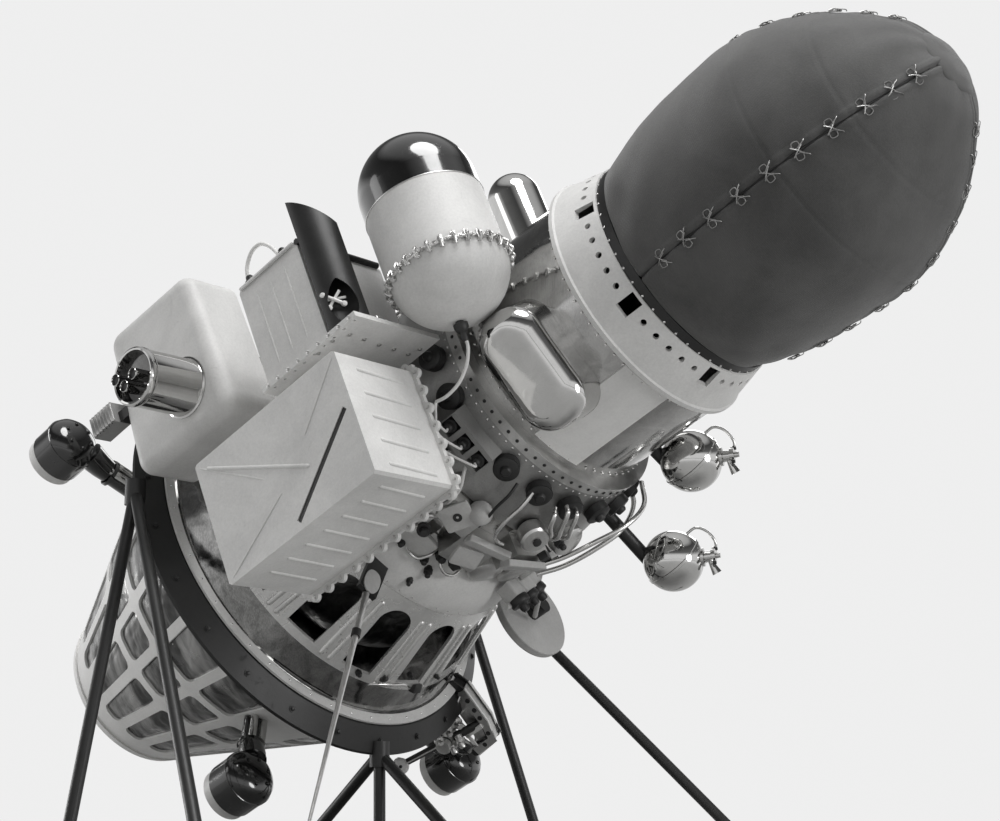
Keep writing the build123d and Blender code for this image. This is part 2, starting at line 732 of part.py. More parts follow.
craft["side_pod"] = station(POD_TURN, BAY_R, POD_Z) * pod_block - envelope

# Dark sockets round the port ring, left out where the long box stands
socket_tilt = degrees(atan2(PORT_LOW_R - PORT_TOP_R, BAY_FLANGE_Z - PORT_LOW_Z))
socket_body = Pos(0, 0, GAP) * Cylinder(SOCKET_D / 2, SOCKET_DEPTH, align=LOW)
socket_body -= Pos(0, 0, GAP + SOCKET_FLOOR) * Cylinder(SOCKET_D / 2 - SOCKET_RIM, SOCKET_DEPTH, align=LOW)
sockets = []
for index in range(-SOCKET_SIDE, SOCKET_SIDE + 1):
    turn = SOCKET_TURN + index * SOCKET_PITCH
    if abs(turn - SBOX_TURN) < SOCKET_PITCH / 2:
        continue
    seat = station(turn, port_radius(SOCKET_Z), SOCKET_Z)
    sockets.append(seat * Rot(X=-socket_tilt) * socket_body)
craft["port_sockets"] = sockets

# Long box of square sockets across the port ring
box_seat = station(SBOX_TURN, PORT_TOP_R, SBOX_Z)
socket_box = box_seat * Pos(0, 0, -SBOX_SUNK) * Box(SBOX_LENGTH, SBOX_WIDTH, SBOX_OUT + SBOX_SUNK, align=LOW)
for place in (-1, 0, 1):
    cell = Box(SBOX_CELL, SBOX_CELL_TALL, SBOX_CELL_DEPTH, align=HIGH)
    socket_box -= box_seat * Pos(place * SBOX_PITCH, 0, SBOX_OUT) * cell
craft["socket_box"] = socket_box - envelope

# Equipment seated in the waist
waist_items = []
for turn, height, width, tall, out in WAIST_ITEMS:
    item = Box(width, tall, out + WAIST_ROOT, align=LOW)
    waist_items.append(station(turn, WAIST_R - WAIST_ROOT, height) * item - envelope)
craft["waist_equipment"] = waist_items

# Ribbed side housing: a bevelled box with pressed beads and one open slot in its face
ribbed = block(RIB_X0, RIB_X1, RIB_Y0, RIB_Y1, RIB_Z0, RIB_Z1)
ribbed = chamfer(ribbed.edges().filter_by(Axis.Y), RIB_CORNER)
bead_z = RIB_Z1 - RIB_BEAD_SUNK
bead_x = RIB_X1 - RIB_BEAD_SUNK
bead_y0 = RIB_Y0 + 55
bead_y1 = RIB_Y1 - 42
for index in range(TOP_BEADS):
    x = RIB_X0 + 38 + index * RIB_BEAD_PITCH
    ribbed += bead((x, bead_y0, bead_z), (x + 6, bead_y1, bead_z), RIB_BEAD_R)
for index in range(SIDE_BEADS):
    z = RIB_Z1 - 42 - index * RIB_BEAD_PITCH
    if z < RIB_Z0 + 20:
        continue
    ribbed += bead((bead_x, bead_y0, z), (bead_x, bead_y1, z - 7), RIB_BEAD_R)
face_y = RIB_Y0 + RIB_BEAD_SUNK
ribbed += bead((88, face_y, 325), (243, face_y, 587), RIB_BEAD_R)
(slot_x0, slot_z0), (slot_x1, slot_z1) = SLOT_ENDS
slot_run = hypot(slot_x1 - slot_x0, slot_z1 - slot_z0)
slot_turn = degrees(atan2(slot_x1 - slot_x0, slot_z1 - slot_z0))
slot_cut = Rot(Y=slot_turn) * Box(SLOT_WIDTH, 2 * SLOT_DEPTH, slot_run)
ribbed -= Pos((slot_x0 + slot_x1) / 2, RIB_Y0, (slot_z0 + slot_z1) / 2) * slot_cut
craft["ribbed_housing"] = ribbed

# Its flange, lobed round the edge where the screws pass
lobe_x0, lobe_x1 = RIB_X0 - RIB_FLANGE_OUT, RIB_X1 + RIB_FLANGE_OUT
lobe_z0, lobe_z1 = RIB_Z0 - RIB_FLANGE_OUT, RIB_Z1 + RIB_FLANGE_OUT
flange_top = RIB_Y1 + RIB_FLANGE_T
ribbed_flange = block(lobe_x0, lobe_x1, RIB_Y1, flange_top, lobe_z0, lobe_z1)
lobe_spots = []
across_count = round((lobe_x1 - lobe_x0) / LOBE_PITCH)
along_count = round((lobe_z1 - lobe_z0) / LOBE_PITCH)
for index in range(across_count):
    x = lobe_x0 + (index + 0.5) * (lobe_x1 - lobe_x0) / across_count
    lobe_spots += [(x, lobe_z0), (x, lobe_z1)]
for index in range(along_count):
    z = lobe_z0 + (index + 0.5) * (lobe_z1 - lobe_z0) / along_count
    lobe_spots += [(lobe_x0, z), (lobe_x1, z)]
lobe_face = Plane(origin=(0, flange_top, 0), x_dir=(1, 0, 0), z_dir=(0, -1, 0))
lobes = [lobe_face * Pos(x, z) * Cylinder(LOBE_R, RIB_FLANGE_T, align=LOW) for x, z in lobe_spots]
ribbed_flange = ribbed_flange + lobes
holes = [lobe_face * Pos(x, z) * Cylinder(LOBE_HOLE_R, RIB_FLANGE_T, align=LOW) for x, z in lobe_spots]
craft["ribbed_flange"] = ribbed_flange - holes
cradle = block(RIB_X0 + 10, RIB_X0 + 120, flange_top, -ARM_ROOT, RIB_Z1 - 175, RIB_Z1 - 95)
cradle += block(RIB_X0 + 10, RIB_X0 + 150, flange_top, -ARM_ROOT, RIB_Z0 + 40, RIB_Z0 + 100)
brackets = [cradle - envelope - waist_items]

# Flat housing and the bolted shelf plate beside it
flat = block(FLAT_X0, FLAT_X1, FLAT_Y0, FLAT_Y1, FLAT_Z0, FLAT_Z1)
craft["flat_housing"] = fillet(flat.edges().filter_by(Axis.Y), FLAT_CORNER) - envelope
shelf_x0, shelf_x1 = FLAT_X1 + GAP, FLAT_X1 + SHELF_T
shelf_top = FLAT_Z1 + SHELF_RISE
shelf = block(shelf_x0, shelf_x1, FLAT_Y0 - SHELF_OUT, SHELF_INNER_Y, FLAT_Z0 - SHELF_OUT, shelf_top)
shelf_face = Plane(origin=(shelf_x0, 0, 0), x_dir=(0, 1, 0), z_dir=(1, 0, 0))
shelf_run = shelf_top - FLAT_Z0
for index in range(SHELF_BOLTS):
    z = FLAT_Z0 + (index + 0.5) * shelf_run / SHELF_BOLTS
    shelf -= shelf_face * Pos(FLAT_Y0, z) * Cylinder(SHELF_BOLT_R, SHELF_T, align=LOW)
craft["shelf_plate"] = shelf - envelope

# Rounded white housing
round_face = make_face(Polyline(*ROUND_CORNERS, close=True))
round_face = fillet(round_face.vertices(), ROUND_CORNER)
round_body = Pos(0, ROUND_Y1, 0) * extrude(Plane.XZ * round_face, ROUND_Y1 - ROUND_Y0)
near_face = round_body.faces().sort_by(Axis.Y)[0]
craft["rounded_housing"] = fillet(near_face.edges(), ROUND_EDGE)
for x0, x1, z0, z1 in ROUND_ARMS:
    brackets.append(block(x0, x1, ROUND_Y1, -ARM_ROOT, z0, z1) - envelope - bead_room)

# Bright barrel on its face, with a thin foot and three open tubes
barrel_seat = Plane(origin=(BARREL_X, ROUND_Y0 - GAP, BARREL_Z), x_dir=(1, 0, 0), z_dir=(0, -1, 0))
barrel = barrel_seat * Cylinder(BARREL_R, BARREL_LENGTH, align=LOW)
barrel = fillet(barrel.edges().sort_by(Axis.Y)[0], BARREL_EDGE)
barrel += barrel_seat * Cylinder(BARREL_FOOT_R, BARREL_FOOT_T, align=LOW)
for spot in TUBE_SPOTS:
    tube_seat = barrel_seat * Pos(spot[0], spot[1], BARREL_LENGTH - 2)
    barrel += tube_seat * Cylinder(SENSOR_TUBE_R, SENSOR_TUBE_LENGTH, align=LOW)
    barrel -= tube_seat * Pos(0, 0, 4) * Cylinder(SENSOR_BORE_R, SENSOR_TUBE_LENGTH, align=LOW)
craft["sensor_barrel"] = barrel

# Louvred box hung under the rounded housing, grooved between its slats
louvre = block(LOUVRE_X0, LOUVRE_X1, LOUVRE_Y0, LOUVRE_Y1, LOUVRE_Z0, LOUVRE_Z1)
slat_pitch = (LOUVRE_Z1 - LOUVRE_Z0) / LOUVRE_SLATS
for index in range(1, LOUVRE_SLATS):
    z = LOUVRE_Z0 + index * slat_pitch
    z_low, z_high = z - LOUVRE_CUT / 2, z + LOUVRE_CUT / 2
    louvre -= block(LOUVRE_X0, LOUVRE_X1, LOUVRE_Y0, LOUVRE_Y0 + LOUVRE_CUT, z_low, z_high)
    louvre -= block(LOUVRE_X0, LOUVRE_X0 + LOUVRE_CUT, LOUVRE_Y0, LOUVRE_Y1, z_low, z_high)
craft["louvre_box"] = louvre
hanger = block(LOUVRE_X1 - 26, LOUVRE_X1, LOUVRE_Y0 + 16, LOUVRE_Y1, LOUVRE_Z1, LOUVRE_Z1 + 60)
brackets.append(hanger - craft["rounded_housing"])


# Trough antenna: a lens-shaped tube standing on the shelf plate, cut slanting at its top, opened at its foot
def lens(chord, rise):
    """A pointed oval between two equal arcs."""
    upper = ThreePointArc((-chord / 2, 0), (0, rise), (chord / 2, 0))
    lower = ThreePointArc((chord / 2, 0), (0, -rise), (-chord / 2, 0))
    return make_face(upper + lower)


trough = extrude(lens(TROUGH_CHORD, TROUGH_DEPTH), TROUGH_LONG)
trough -= extrude(lens(TROUGH_CHORD - 6 * TROUGH_WALL, TROUGH_DEPTH - TROUGH_WALL), TROUGH_LONG)
half_chord = TROUGH_CHORD / 2
slant_slope = (TROUGH_LONG - TROUGH_SHORT) / TROUGH_CHORD
slant_points = (
    (-TROUGH_CHORD, TROUGH_LONG + slant_slope * half_chord),
    (TROUGH_CHORD, TROUGH_SHORT - slant_slope * half_chord),
    (TROUGH_CHORD, TROUGH_LONG + slant_slope * half_chord),
)
slant = extrude(Plane.XZ * make_face(Polyline(*slant_points, close=True)), TROUGH_CHORD, both=True)
mouth_face = Rot(Z=90) * lens(TROUGH_MOUTH, TROUGH_MOUTH_WIDTH / 2)
mouth = extrude(Plane.XZ * (Pos(0, TROUGH_MOUTH / 2 - TROUGH_MOUTH_DROP) * mouth_face), TROUGH_CHORD)
roll = radians(TROUGH_ROLL)
trough_seat = Plane(
    origin=(FLAT_X1, FLAT_Y0 + TROUGH_STAND_OFF, TROUGH_Z), x_dir=(0, cos(roll), sin(roll)), z_dir=(-1, 0, 0)
)
craft["trough_antenna"] = trough_seat * (trough - slant - mouth)

# White canister with its dark dome, clip ring and arm
can_axis = Plane(origin=(CAN_JOIN_X, CAN_Y, CAN_Z), x_dir=(0, 0, 1), z_dir=(1, 0, 0))
craft["canister_body"] = can_axis * round_ended(CAN_R, CAN_STRAIGHT)
dome_axis = Plane(origin=(CAN_JOIN_X, CAN_Y, CAN_Z), x_dir=(0, 0, 1), z_dir=(-1, 0, 0))
craft["canister_dome"] = dome_axis * round_ended(CAN_R - DOME_STEP, DOME_STRAIGHT)
clip_ring = Cylinder(CAN_R + CLIP_OUT, CLIP_WIDTH) - Cylinder(CAN_R + GAP, CLIP_WIDTH)
craft["canister_clips"] = can_axis * Pos(0, 0, CLIP_X - CAN_JOIN_X) * clip_ring
can_mount = block(CAN_JOIN_X + 10, CAN_JOIN_X + 110, CAN_Y + CAN_R / 2, -ARM_ROOT, CAN_Z - 90, CAN_Z - 50)
brackets.append(can_mount - envelope - can_axis * Cylinder(CAN_R + GAP, 2 * CAN_STRAIGHT))
craft["compartment_brackets"] = brackets

# Bright canister behind the bay
second = Plane(origin=(-BAY_R + SECOND_ROOT, 0, SECOND_Z), z_dir=(-1, 0, 0))
craft["second_canister"] = second * round_ended(SECOND_R, SECOND_STRAIGHT) - envelope

# Gas bottles, far housing and the arms that carry them
craft["gas_spheres"] = [Pos(*spot) * Sphere(SPHERE_R) for spot in SPHERES]
far_block = block(FAR_X0, FAR_X1, FAR_Y0, FAR_Y1, FAR_Z0, FAR_Z1)
craft["far_housing"] = fillet(far_block.edges().filter_by(Axis.Z), FAR_CORNER)
far_arm = block(FAR_X1 - 60, FAR_X1 - 10, ARM_ROOT, FAR_Y0, FAR_Z1 - 80, FAR_Z1 - 20)
brackets.append(far_arm - envelope - waist_items)
far_arm = block(FAR_X0 + 60, FAR_X0 + 110, ARM_ROOT, FAR_Y0, FAR_Z0 + 150, FAR_Z0 + 200)
brackets.append(far_arm - envelope - waist_items)
for x, y, z in SPHERES:
    reach = hypot(x, y) - BAY_R + 60
    arm_seat = station(degrees(atan2(y, x)), BAY_R - 60, z - SPHERE_DROP)
    arm = arm_seat * Cylinder(SPHERE_ARM_R, reach, align=LOW)
    brackets.append(arm - envelope - Pos(x, y, z) * Sphere(SPHERE_R + GAP))
dish_reach = FRAME_TOP_R + DISH_OUT
dish_x, dish_y = dish_reach * cos(radians(DISH_TURN)), dish_reach * sin(radians(DISH_TURN))
dish_arm = station(DISH_TURN, FRAME_TOP_R - 20, DISH_Z + 30) * Cylinder(DISH_ARM_R, DISH_OUT + 20, align=LOW)
dish_arm += Pos(dish_x, dish_y, DISH_Z + GAP) * Cylinder(DISH_BOSS_R, DISH_BOSS_H, align=LOW)
brackets.append(dish_arm - envelope - bead_room)
flat_arm = block(FLAT_X0 + 40, FLAT_X0 + 110, FLAT_Y1 + GAP, -ARM_ROOT, FLAT_Z0 + 60, FLAT_Z1 - 60)
brackets.append(flat_arm - envelope - waist_items)
lug_seat = station(PROP_TURN, FRAME_TOP_R - PROP_LUG_ROOT, PROP_LUG_Z)
prop_lug = lug_seat * Box(PROP_LUG_WIDTH, PROP_LUG_T, PROP_LUG_LENGTH, align=LOW)
brackets.append(prop_lug - envelope - craft["ribbed_flange"])



def strap(path, width, low_y, high_y):
    """A flat bar along a path of reach and height, with round joints, between two sides."""
    bar = []
    for (x0, z0), (x1, z1) in zip(path, path[1:]):
        run = Rot(Z=degrees(atan2(z1 - z0, x1 - x0))) * Rectangle(hypot(x1 - x0, z1 - z0), width)
        bar.append(Pos((x0 + x1) / 2, (z0 + z1) / 2) * run)
    bar += [Pos(x, z) * Circle(width / 2) for x, z in path]
    outline = bar[0] + bar[1:]
    return extrude(Plane(origin=(0, high_y, 0), x_dir=(1, 0, 0), z_dir=(0, -1, 0)) * outline, high_y - low_y)


# Outrigger: a bent channel of two walls and a web, with a valve and the thruster rod below it
half_width = OUTRIGGER_WIDTH / 2
channel = strap(OUTRIGGER_PATH, OUTRIGGER_T, -half_width, half_width)
channel += strap(OUTRIGGER_PATH, OUTRIGGER_BAR, -half_width, OUTRIGGER_T - half_width)
channel += strap(OUTRIGGER_PATH, OUTRIGGER_BAR, half_width - OUTRIGGER_T, half_width)
outrigger = Rot(Z=OUTRIGGER_TURN) * channel
knee_x, knee_z = OUTRIGGER_PATH[2]
knee = station(OUTRIGGER_TURN, knee_x, knee_z).origin
valve = station(VALVE_TURN, *THRUSTER_TOP).origin
cup = station(VALVE_TURN, *THRUSTER_END).origin
outrigger += rod(tuple(knee), tuple(valve), THRUSTER_R + 3)
valve_seat = station(VALVE_TURN, *THRUSTER_TOP)
outrigger += valve_seat * Rot(Y=90) * Cylinder(VALVE_R, VALVE_LENGTH)
outrigger += rod(tuple(valve), tuple(cup), THRUSTER_R)
cup_seat = Plane(origin=cup, z_dir=cup - valve)
outrigger += cup_seat * Cylinder(THRUSTER_CUP_R, THRUSTER_CUP_H, align=LOW)
brackets.append(outrigger - envelope)

# Dish antenna facing the engine end
dish = Pos(dish_x, dish_y, DISH_Z) * Cylinder(DISH_R, DISH_T, align=HIGH)
craft["dish_antenna"] = fillet(dish.edges().sort_by(Axis.Z)[0], DISH_EDGE)

# Steering chambers
pots, rims, arms = [], [], []
for reach, turn in POTS:
    centre = (reach * cos(radians(turn)), reach * sin(radians(turn)))
    pot = Pos(*centre, POT_Z) * (Sphere(POT_R, arc_size1=0) + Cylinder(POT_R, POT_SKIRT, align=HIGH))
    rim_z = POT_Z - POT_SKIRT - POT_RIM_H / 2
    rim = Pos(*centre, rim_z) * (Cylinder(POT_R - 4, POT_RIM_H) - Cylinder(POT_R - 4 - POT_RIM_T, POT_RIM_H))
    skirt_r = skirt_radius(ARM_Z)
    start = ((skirt_r - 40) * cos(radians(turn)), (skirt_r - 40) * sin(radians(turn)), ARM_Z)
    end = (centre[0], centre[1], ARM_Z)
    grown = Pos(*centre, POT_Z) * (Sphere(POT_R + GAP) + Cylinder(POT_R + GAP, POT_SKIRT, align=HIGH))
    arm = rod(start, end, ARM_R) - envelope - grown
    pots.append(pot)
    rims.append(rim)
    arms.append(arm)
craft["vernier_pots"] = pots
craft["vernier_rims"] = rims
craft["vernier_arms"] = arms

# Stand: hoop under the engine flange
hoop = turned(
    (
        (SKIRT_NECK_R + GAP, HOOP_TOP_Z - 10),
        (SKIRT_NECK_R + GAP, HOOP_TOP_Z),
        (FLANGE_R + 4, HOOP_TOP_Z),
        (HOOP_OUT_R, HOOP_TOP_Z - HOOP_DROP),
        (HOOP_OUT_R, HOOP_TOP_Z - HOOP_DROP - HOOP_WALL),
        (HOOP_OUT_R - HOOP_WALL, HOOP_TOP_Z - HOOP_DROP - HOOP_WALL),
        (FLANGE_R, HOOP_TOP_Z - 12),
    )
)


def leaned(point):
    """A point of the craft, in the stand's level axes."""
    return attitude.from_local_coords(Vector(*point))


# Side legs from the hub on each side of the hoop, and centre legs under the hoop's lowest point
hub_mid_r = HOOP_OUT_R + 2
hub_mid_z = HOOP_TOP_Z - HOOP_DROP
hoop_placed = attitude * hoop
ground = Box(FLOOR_SPAN, FLOOR_SPAN, FLOOR_DEPTH, align=HIGH)
craft_clear = attitude * envelope


def leg_group(hub, spots):
    """Legs welded together under one hub lug, each on a round foot with three bolt holes."""
    group = Pos(*hub) * Cylinder(HUB_R, HUB_H)
    for foot_x, foot_y in spots:
        group += rod((foot_x, foot_y, 0), tuple(hub), TUBE_R)
        foot = Cylinder(FOOT_R, FOOT_H)
        for index in range(FOOT_BOLTS):
            hole_seat = Rot(Z=index * 360 / FOOT_BOLTS) * Pos(FOOT_BOLT_CIRCLE / 2, 0, 0)
            foot -= hole_seat * Cylinder(FOOT_BOLT_R, FOOT_H)
        group += Pos(foot_x, foot_y, FOOT_H / 2) * foot
    return group - ground - hoop_placed - craft_clear


near_hub = leaned((hub_mid_r * cos(radians(HUB_TURN)), -hub_mid_r * sin(radians(HUB_TURN)), hub_mid_z))
far_hub = Vector(near_hub.X, -near_hub.Y, near_hub.Z)
centre_hub = leaned((hub_mid_r, 0, hub_mid_z))
placed["stand_hoop"] = [hoop_placed]
placed["stand_near_legs"] = [leg_group(near_hub, [(x, -y) for x, y in FEET_SIDE])]
placed["stand_far_legs"] = [leg_group(far_hub, FEET_SIDE)]
placed["stand_centre_legs"] = [leg_group(centre_hub, [(x, 0) for x in FEET_CENTRE])]

# Slender prop rod to the engine frame
lug_tip = station(PROP_TURN, FRAME_TOP_R - PROP_LUG_ROOT + PROP_LUG_LENGTH, PROP_LUG_Z).origin
prop_top = leaned(tuple(lug_tip))
prop_foot = Vector(*PROP_FOOT)
prop_up = (Vector(*prop_top) - prop_foot).normalized()
lug_root = station(PROP_TURN, 0, PROP_LUG_Z).origin
lug_outward = (Vector(*prop_top) - Vector(*leaned(tuple(lug_root)))).normalized()
square = abs(prop_up.dot(lug_outward))
prop_setback = (GAP + PROP_R * sqrt(1 - square**2)) / square
prop_end = Vector(*prop_top) - prop_up * prop_setback
placed["prop_rod"] = [rod(PROP_FOOT, tuple(prop_end), PROP_TIP_R, PROP_R)]

# Centre the whole over the origin, then open the lattice where it finally stands
for name, piece in craft.items():
    solids = piece if isinstance(piece, list) else [piece]
    placed[name] = [attitude * one for one in solids]
everything = Compound([solid for pieces in placed.values() for piece in pieces for solid in piece.solids()])
box = everything.bounding_box()
centre = box.center()
origin_shift = Pos(-centre.X, -centre.Y, -box.min.Z)
for name, pieces in placed.items():
    placed[name] = [origin_shift * piece for piece in pieces]
final_windows = [origin_shift * attitude.location * window for window in skirt_windows]
placed["skirt_lattice"] = [placed["skirt_lattice"][0] - final_windows]
print("flange centre", [round(v, 2) for v in (-centre.X, -centre.Y, FLANGE_HEIGHT - box.min.Z)])
print("overall", box.size)

os.makedirs("parts", exist_ok=True)
for name, pieces in placed.items():
    solids = [solid for piece in pieces for solid in piece.solids()]
    export_step(Compound(solids), f"parts/{name}.step")
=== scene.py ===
"""Dresses a lunar lander that lies back on its display stand: cover, foil, chrome, wiring and fittings."""

import bmesh
import bpy
import numpy as np
from mathutils import Matrix, Vector


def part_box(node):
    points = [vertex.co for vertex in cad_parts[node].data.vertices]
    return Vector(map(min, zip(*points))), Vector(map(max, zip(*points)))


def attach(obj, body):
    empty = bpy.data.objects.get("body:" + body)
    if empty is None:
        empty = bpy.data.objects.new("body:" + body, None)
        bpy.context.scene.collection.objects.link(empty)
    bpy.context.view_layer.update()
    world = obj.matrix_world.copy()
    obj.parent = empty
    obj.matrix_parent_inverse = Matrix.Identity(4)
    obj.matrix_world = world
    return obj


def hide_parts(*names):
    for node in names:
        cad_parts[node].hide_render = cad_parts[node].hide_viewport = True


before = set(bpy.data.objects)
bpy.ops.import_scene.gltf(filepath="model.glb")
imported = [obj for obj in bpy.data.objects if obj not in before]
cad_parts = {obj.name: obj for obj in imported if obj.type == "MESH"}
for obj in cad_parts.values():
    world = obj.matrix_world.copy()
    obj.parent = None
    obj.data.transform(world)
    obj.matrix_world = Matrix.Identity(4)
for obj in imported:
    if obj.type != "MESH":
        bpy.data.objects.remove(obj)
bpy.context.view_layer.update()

bl_info = {
    "name": "Lunar lander on its stand",
    "version": (1, 0, 0),
    "blender": (4, 5, 0),
    "location": "3D View > Sidebar > Lander",
    "description": "Builds the fabric, foil, fittings, stage and camera of a lunar lander on its stand",
    "category": "Object",
}

ROOT = "root"
# Points nearer than WELD become one, and edges shorter than SLIVER go
WELD, SLIVER = 1e-6, 1e-7
# The craft lies back, LEAN above level. Its own frame starts at HUB, the middle of the engine flange,
# and points toward its belly, away to its far side, and along it to the capsule
LEAN = np.radians(24.81)
HUB = (np.array(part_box("deck_flange")[0]) + np.array(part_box("deck_flange")[1])) / 2
BELLY = np.array((np.sin(LEAN), 0.0, -np.cos(LEAN)))
AWAY = np.array((0.0, 1.0, 0.0))
ALONG = np.array((np.cos(LEAN), 0.0, np.sin(LEAN)))
CRAFT = np.stack((BELLY, AWAY, ALONG))
# The long axis, in the craft's own frame
AXIS = np.array((0.0, 0.0, 1.0))
TAU = 2 * np.pi
RNG = np.random.default_rng(41)


def out(points):
    """Craft points to scene points: hub plus belly, away and along distances times their directions."""
    return HUB + np.asarray(points, float) @ CRAFT


def polar(turn, reach, height):
    """Craft point at a turn in degrees from the belly toward the far side, a reach and a height."""
    turn, reach, height = np.broadcast_arrays(np.radians(turn), reach, height)
    return np.stack((reach * np.cos(turn), reach * np.sin(turn), height), -1)


def unit(vectors):
    """Vectors divided by their lengths."""
    vectors = np.asarray(vectors, float)
    return vectors / np.linalg.norm(vectors, axis=-1, keepdims=True)


def facing(outward, across=(0, 0, 1)):
    """Three square axes: the third is outward, and the second lies as near to across as it can."""
    third = unit(outward)
    across = np.asarray(across, float)
    second = unit(across - third * (across @ third))
    return np.stack((np.cross(second, third), second, third))


def seat(origin, outward, across=(0, 0, 1)):
    """Where a copy of a shape goes: its origin, and the axes that its own turn into."""
    return np.asarray(origin, float), facing(outward, across)


def skin(turn, reach, height, slope=0.0, spin=0.0):
    """Seat on the body's skin: outward is the radial direction tipped up by slope, then spun, in degrees."""
    radial = polar(turn, 1.0, 0.0)
    tip = np.radians(slope)
    outward = radial * np.cos(tip) + AXIS * np.sin(tip)
    up = AXIS * np.cos(tip) - radial * np.sin(tip)
    side = np.cross(up, outward)
    turn_by = np.radians(spin)
    return polar(turn, reach, height), facing(outward, up * np.cos(turn_by) + side * np.sin(turn_by))


def net(points, wrap_u=False, wrap_v=False):
    """Vertices and four-sided faces of a surface given as a grid of points over two parameters."""
    rows, cols = points.shape[:2]
    index = np.arange(rows * cols).reshape(rows, cols)
    if wrap_u:
        index = np.vstack((index, index[:1]))
    if wrap_v:
        index = np.hstack((index, index[:, :1]))
    faces = np.stack((index[:-1, :-1], index[1:, :-1], index[1:, 1:], index[:-1, 1:]), -1).reshape(-1, 4)
    return points.reshape(-1, 3), faces


def lathe(profile, sides=32):
    """A profile of radius and height carried round the third axis: x is r cos a, y is r sin a."""
    profile = np.asarray(profile, float)
    angle = np.linspace(0, TAU, sides, endpoint=False)
    radius, height = profile[:, None, 0], profile[:, None, 1]
    grid = np.stack((radius * np.cos(angle), radius * np.sin(angle), height + 0 * angle), -1)
    return net(grid, wrap_v=True)


def rounded(sides, power, start=0.0):
    """A superellipse that reaches 1 along both axes: the cosine and sine, each to a power, with their signs."""
    angle = np.linspace(0, TAU, sides, endpoint=False) + start
    cosine, sine = np.cos(angle), np.sin(angle)
    return np.stack((np.sign(cosine) * abs(cosine) ** power, np.sign(sine) * abs(sine) ** power), -1)


def slab(half_x, half_y, low, high, edge=0.0, power=6.0, sides=24):
    """A pad with a rounded plan: x and y follow a superellipse, and the top rim is drawn in by edge."""
    plan = rounded(sides, 2 / power, np.pi / sides)
    # How far each ring is drawn in, its height, and 1 where it shuts the pad
    rings = (
        (0.0, low, 1), (0.0, low, 0), (0.0, high - edge, 0), (edge * 0.3, high - edge * 0.3, 0),
        (edge, high, 0), (0.0, high, 1),
    )
    rows = []
    for inset, level, shut in rings:
        flat = plan * (np.array((half_x, half_y)) - inset) * (1 - shut)
        rows.append(np.column_stack((flat, np.full(sides, level))))
    return net(np.array(rows), wrap_v=True)


def sweep(path, radius, sides=8, fine=6, closed=False):
    """A tube round a smooth path: circles square to the path's tangent, whose radius may vary along it."""
    line = smooth(np.asarray(path, float), fine=fine, closed=closed)
    tangent = unit(np.roll(line, -1, 0) - np.roll(line, 1, 0)) if closed else unit(np.gradient(line, axis=0))
    least = np.linalg.svd(tangent)[2][-1]
    first = unit(np.cross(tangent, least))
    second = np.cross(tangent, first)
    angle = np.linspace(0, TAU, sides, endpoint=False)
    stations = np.linspace(0, 1, np.size(radius))
    size = np.interp(np.linspace(0, 1, len(line)), stations, np.ravel(radius))[:, None, None]
    ring = first[:, None] * np.cos(angle)[:, None] + second[:, None] * np.sin(angle)[:, None]
    grid = line[:, None] + ring * size
    if closed:
        return net(grid, wrap_u=True, wrap_v=True)
    grid = np.concatenate((np.repeat(line[:1, None], sides, 1), grid, np.repeat(line[-1:, None], sides, 1)))
    return net(grid, wrap_v=True)


def smooth(points, fine=6, closed=False):
    """Points along a curve through the given ones: a cubic whose slope at each is half the step past it."""
    if len(points) < 3 or fine < 2:
        return points
    before = np.vstack((points[-1:] if closed else 2 * points[:1] - points[1:2], points))
    padded = np.vstack((before, points[:2] if closed else 2 * points[-1:] - points[-2:-1]))
    count = len(points) if closed else len(points) - 1
    a, b, c, d = (padded[k : k + count, None] for k in range(4))
    t = (np.arange(fine) / fine)[:, None]
    curve = b + (c - a) * t / 2 + (a - 2.5 * b + 2 * c - d / 2) * t**2 + (
        1.5 * b - a / 2 - 1.5 * c + d / 2
    ) * t**3
    curve = curve.reshape(-1, 3)
    return curve if closed else np.vstack((curve, points[-1:]))


def stamp(shape, seats):
    """Copies of a shape, each carried to a seat: the seat's origin plus the shape's points times its axes."""
    points, faces = shape
    origins = np.array([origin for origin, _ in seats])
    axes = np.array([axis for _, axis in seats])
    copies = origins[:, None] + np.einsum("pk,skc->spc", points, axes)
    shift = np.arange(len(seats))[:, None, None] * len(points)
    return copies.reshape(-1, 3), (faces + shift).reshape(-1, faces.shape[1])


def sized(profile, size, sides=16):
    """A lathed profile grown by a size."""
    points, faces = lathe(profile, sides=sides)
    return points * size, faces


def turned(profile, sides, seats):
    """Copies of a lathed profile."""
    return stamp(lathe(profile, sides=sides), seats)


def merged(*shapes):
    """Several shapes as one, their faces renumbered. All their faces have four corners."""
    starts = np.cumsum([0] + [len(points) for points, _ in shapes[:-1]])
    faces = [each + start for (_, each), start in zip(shapes, starts)]
    return np.concatenate([points for points, _ in shapes]), np.concatenate(faces)


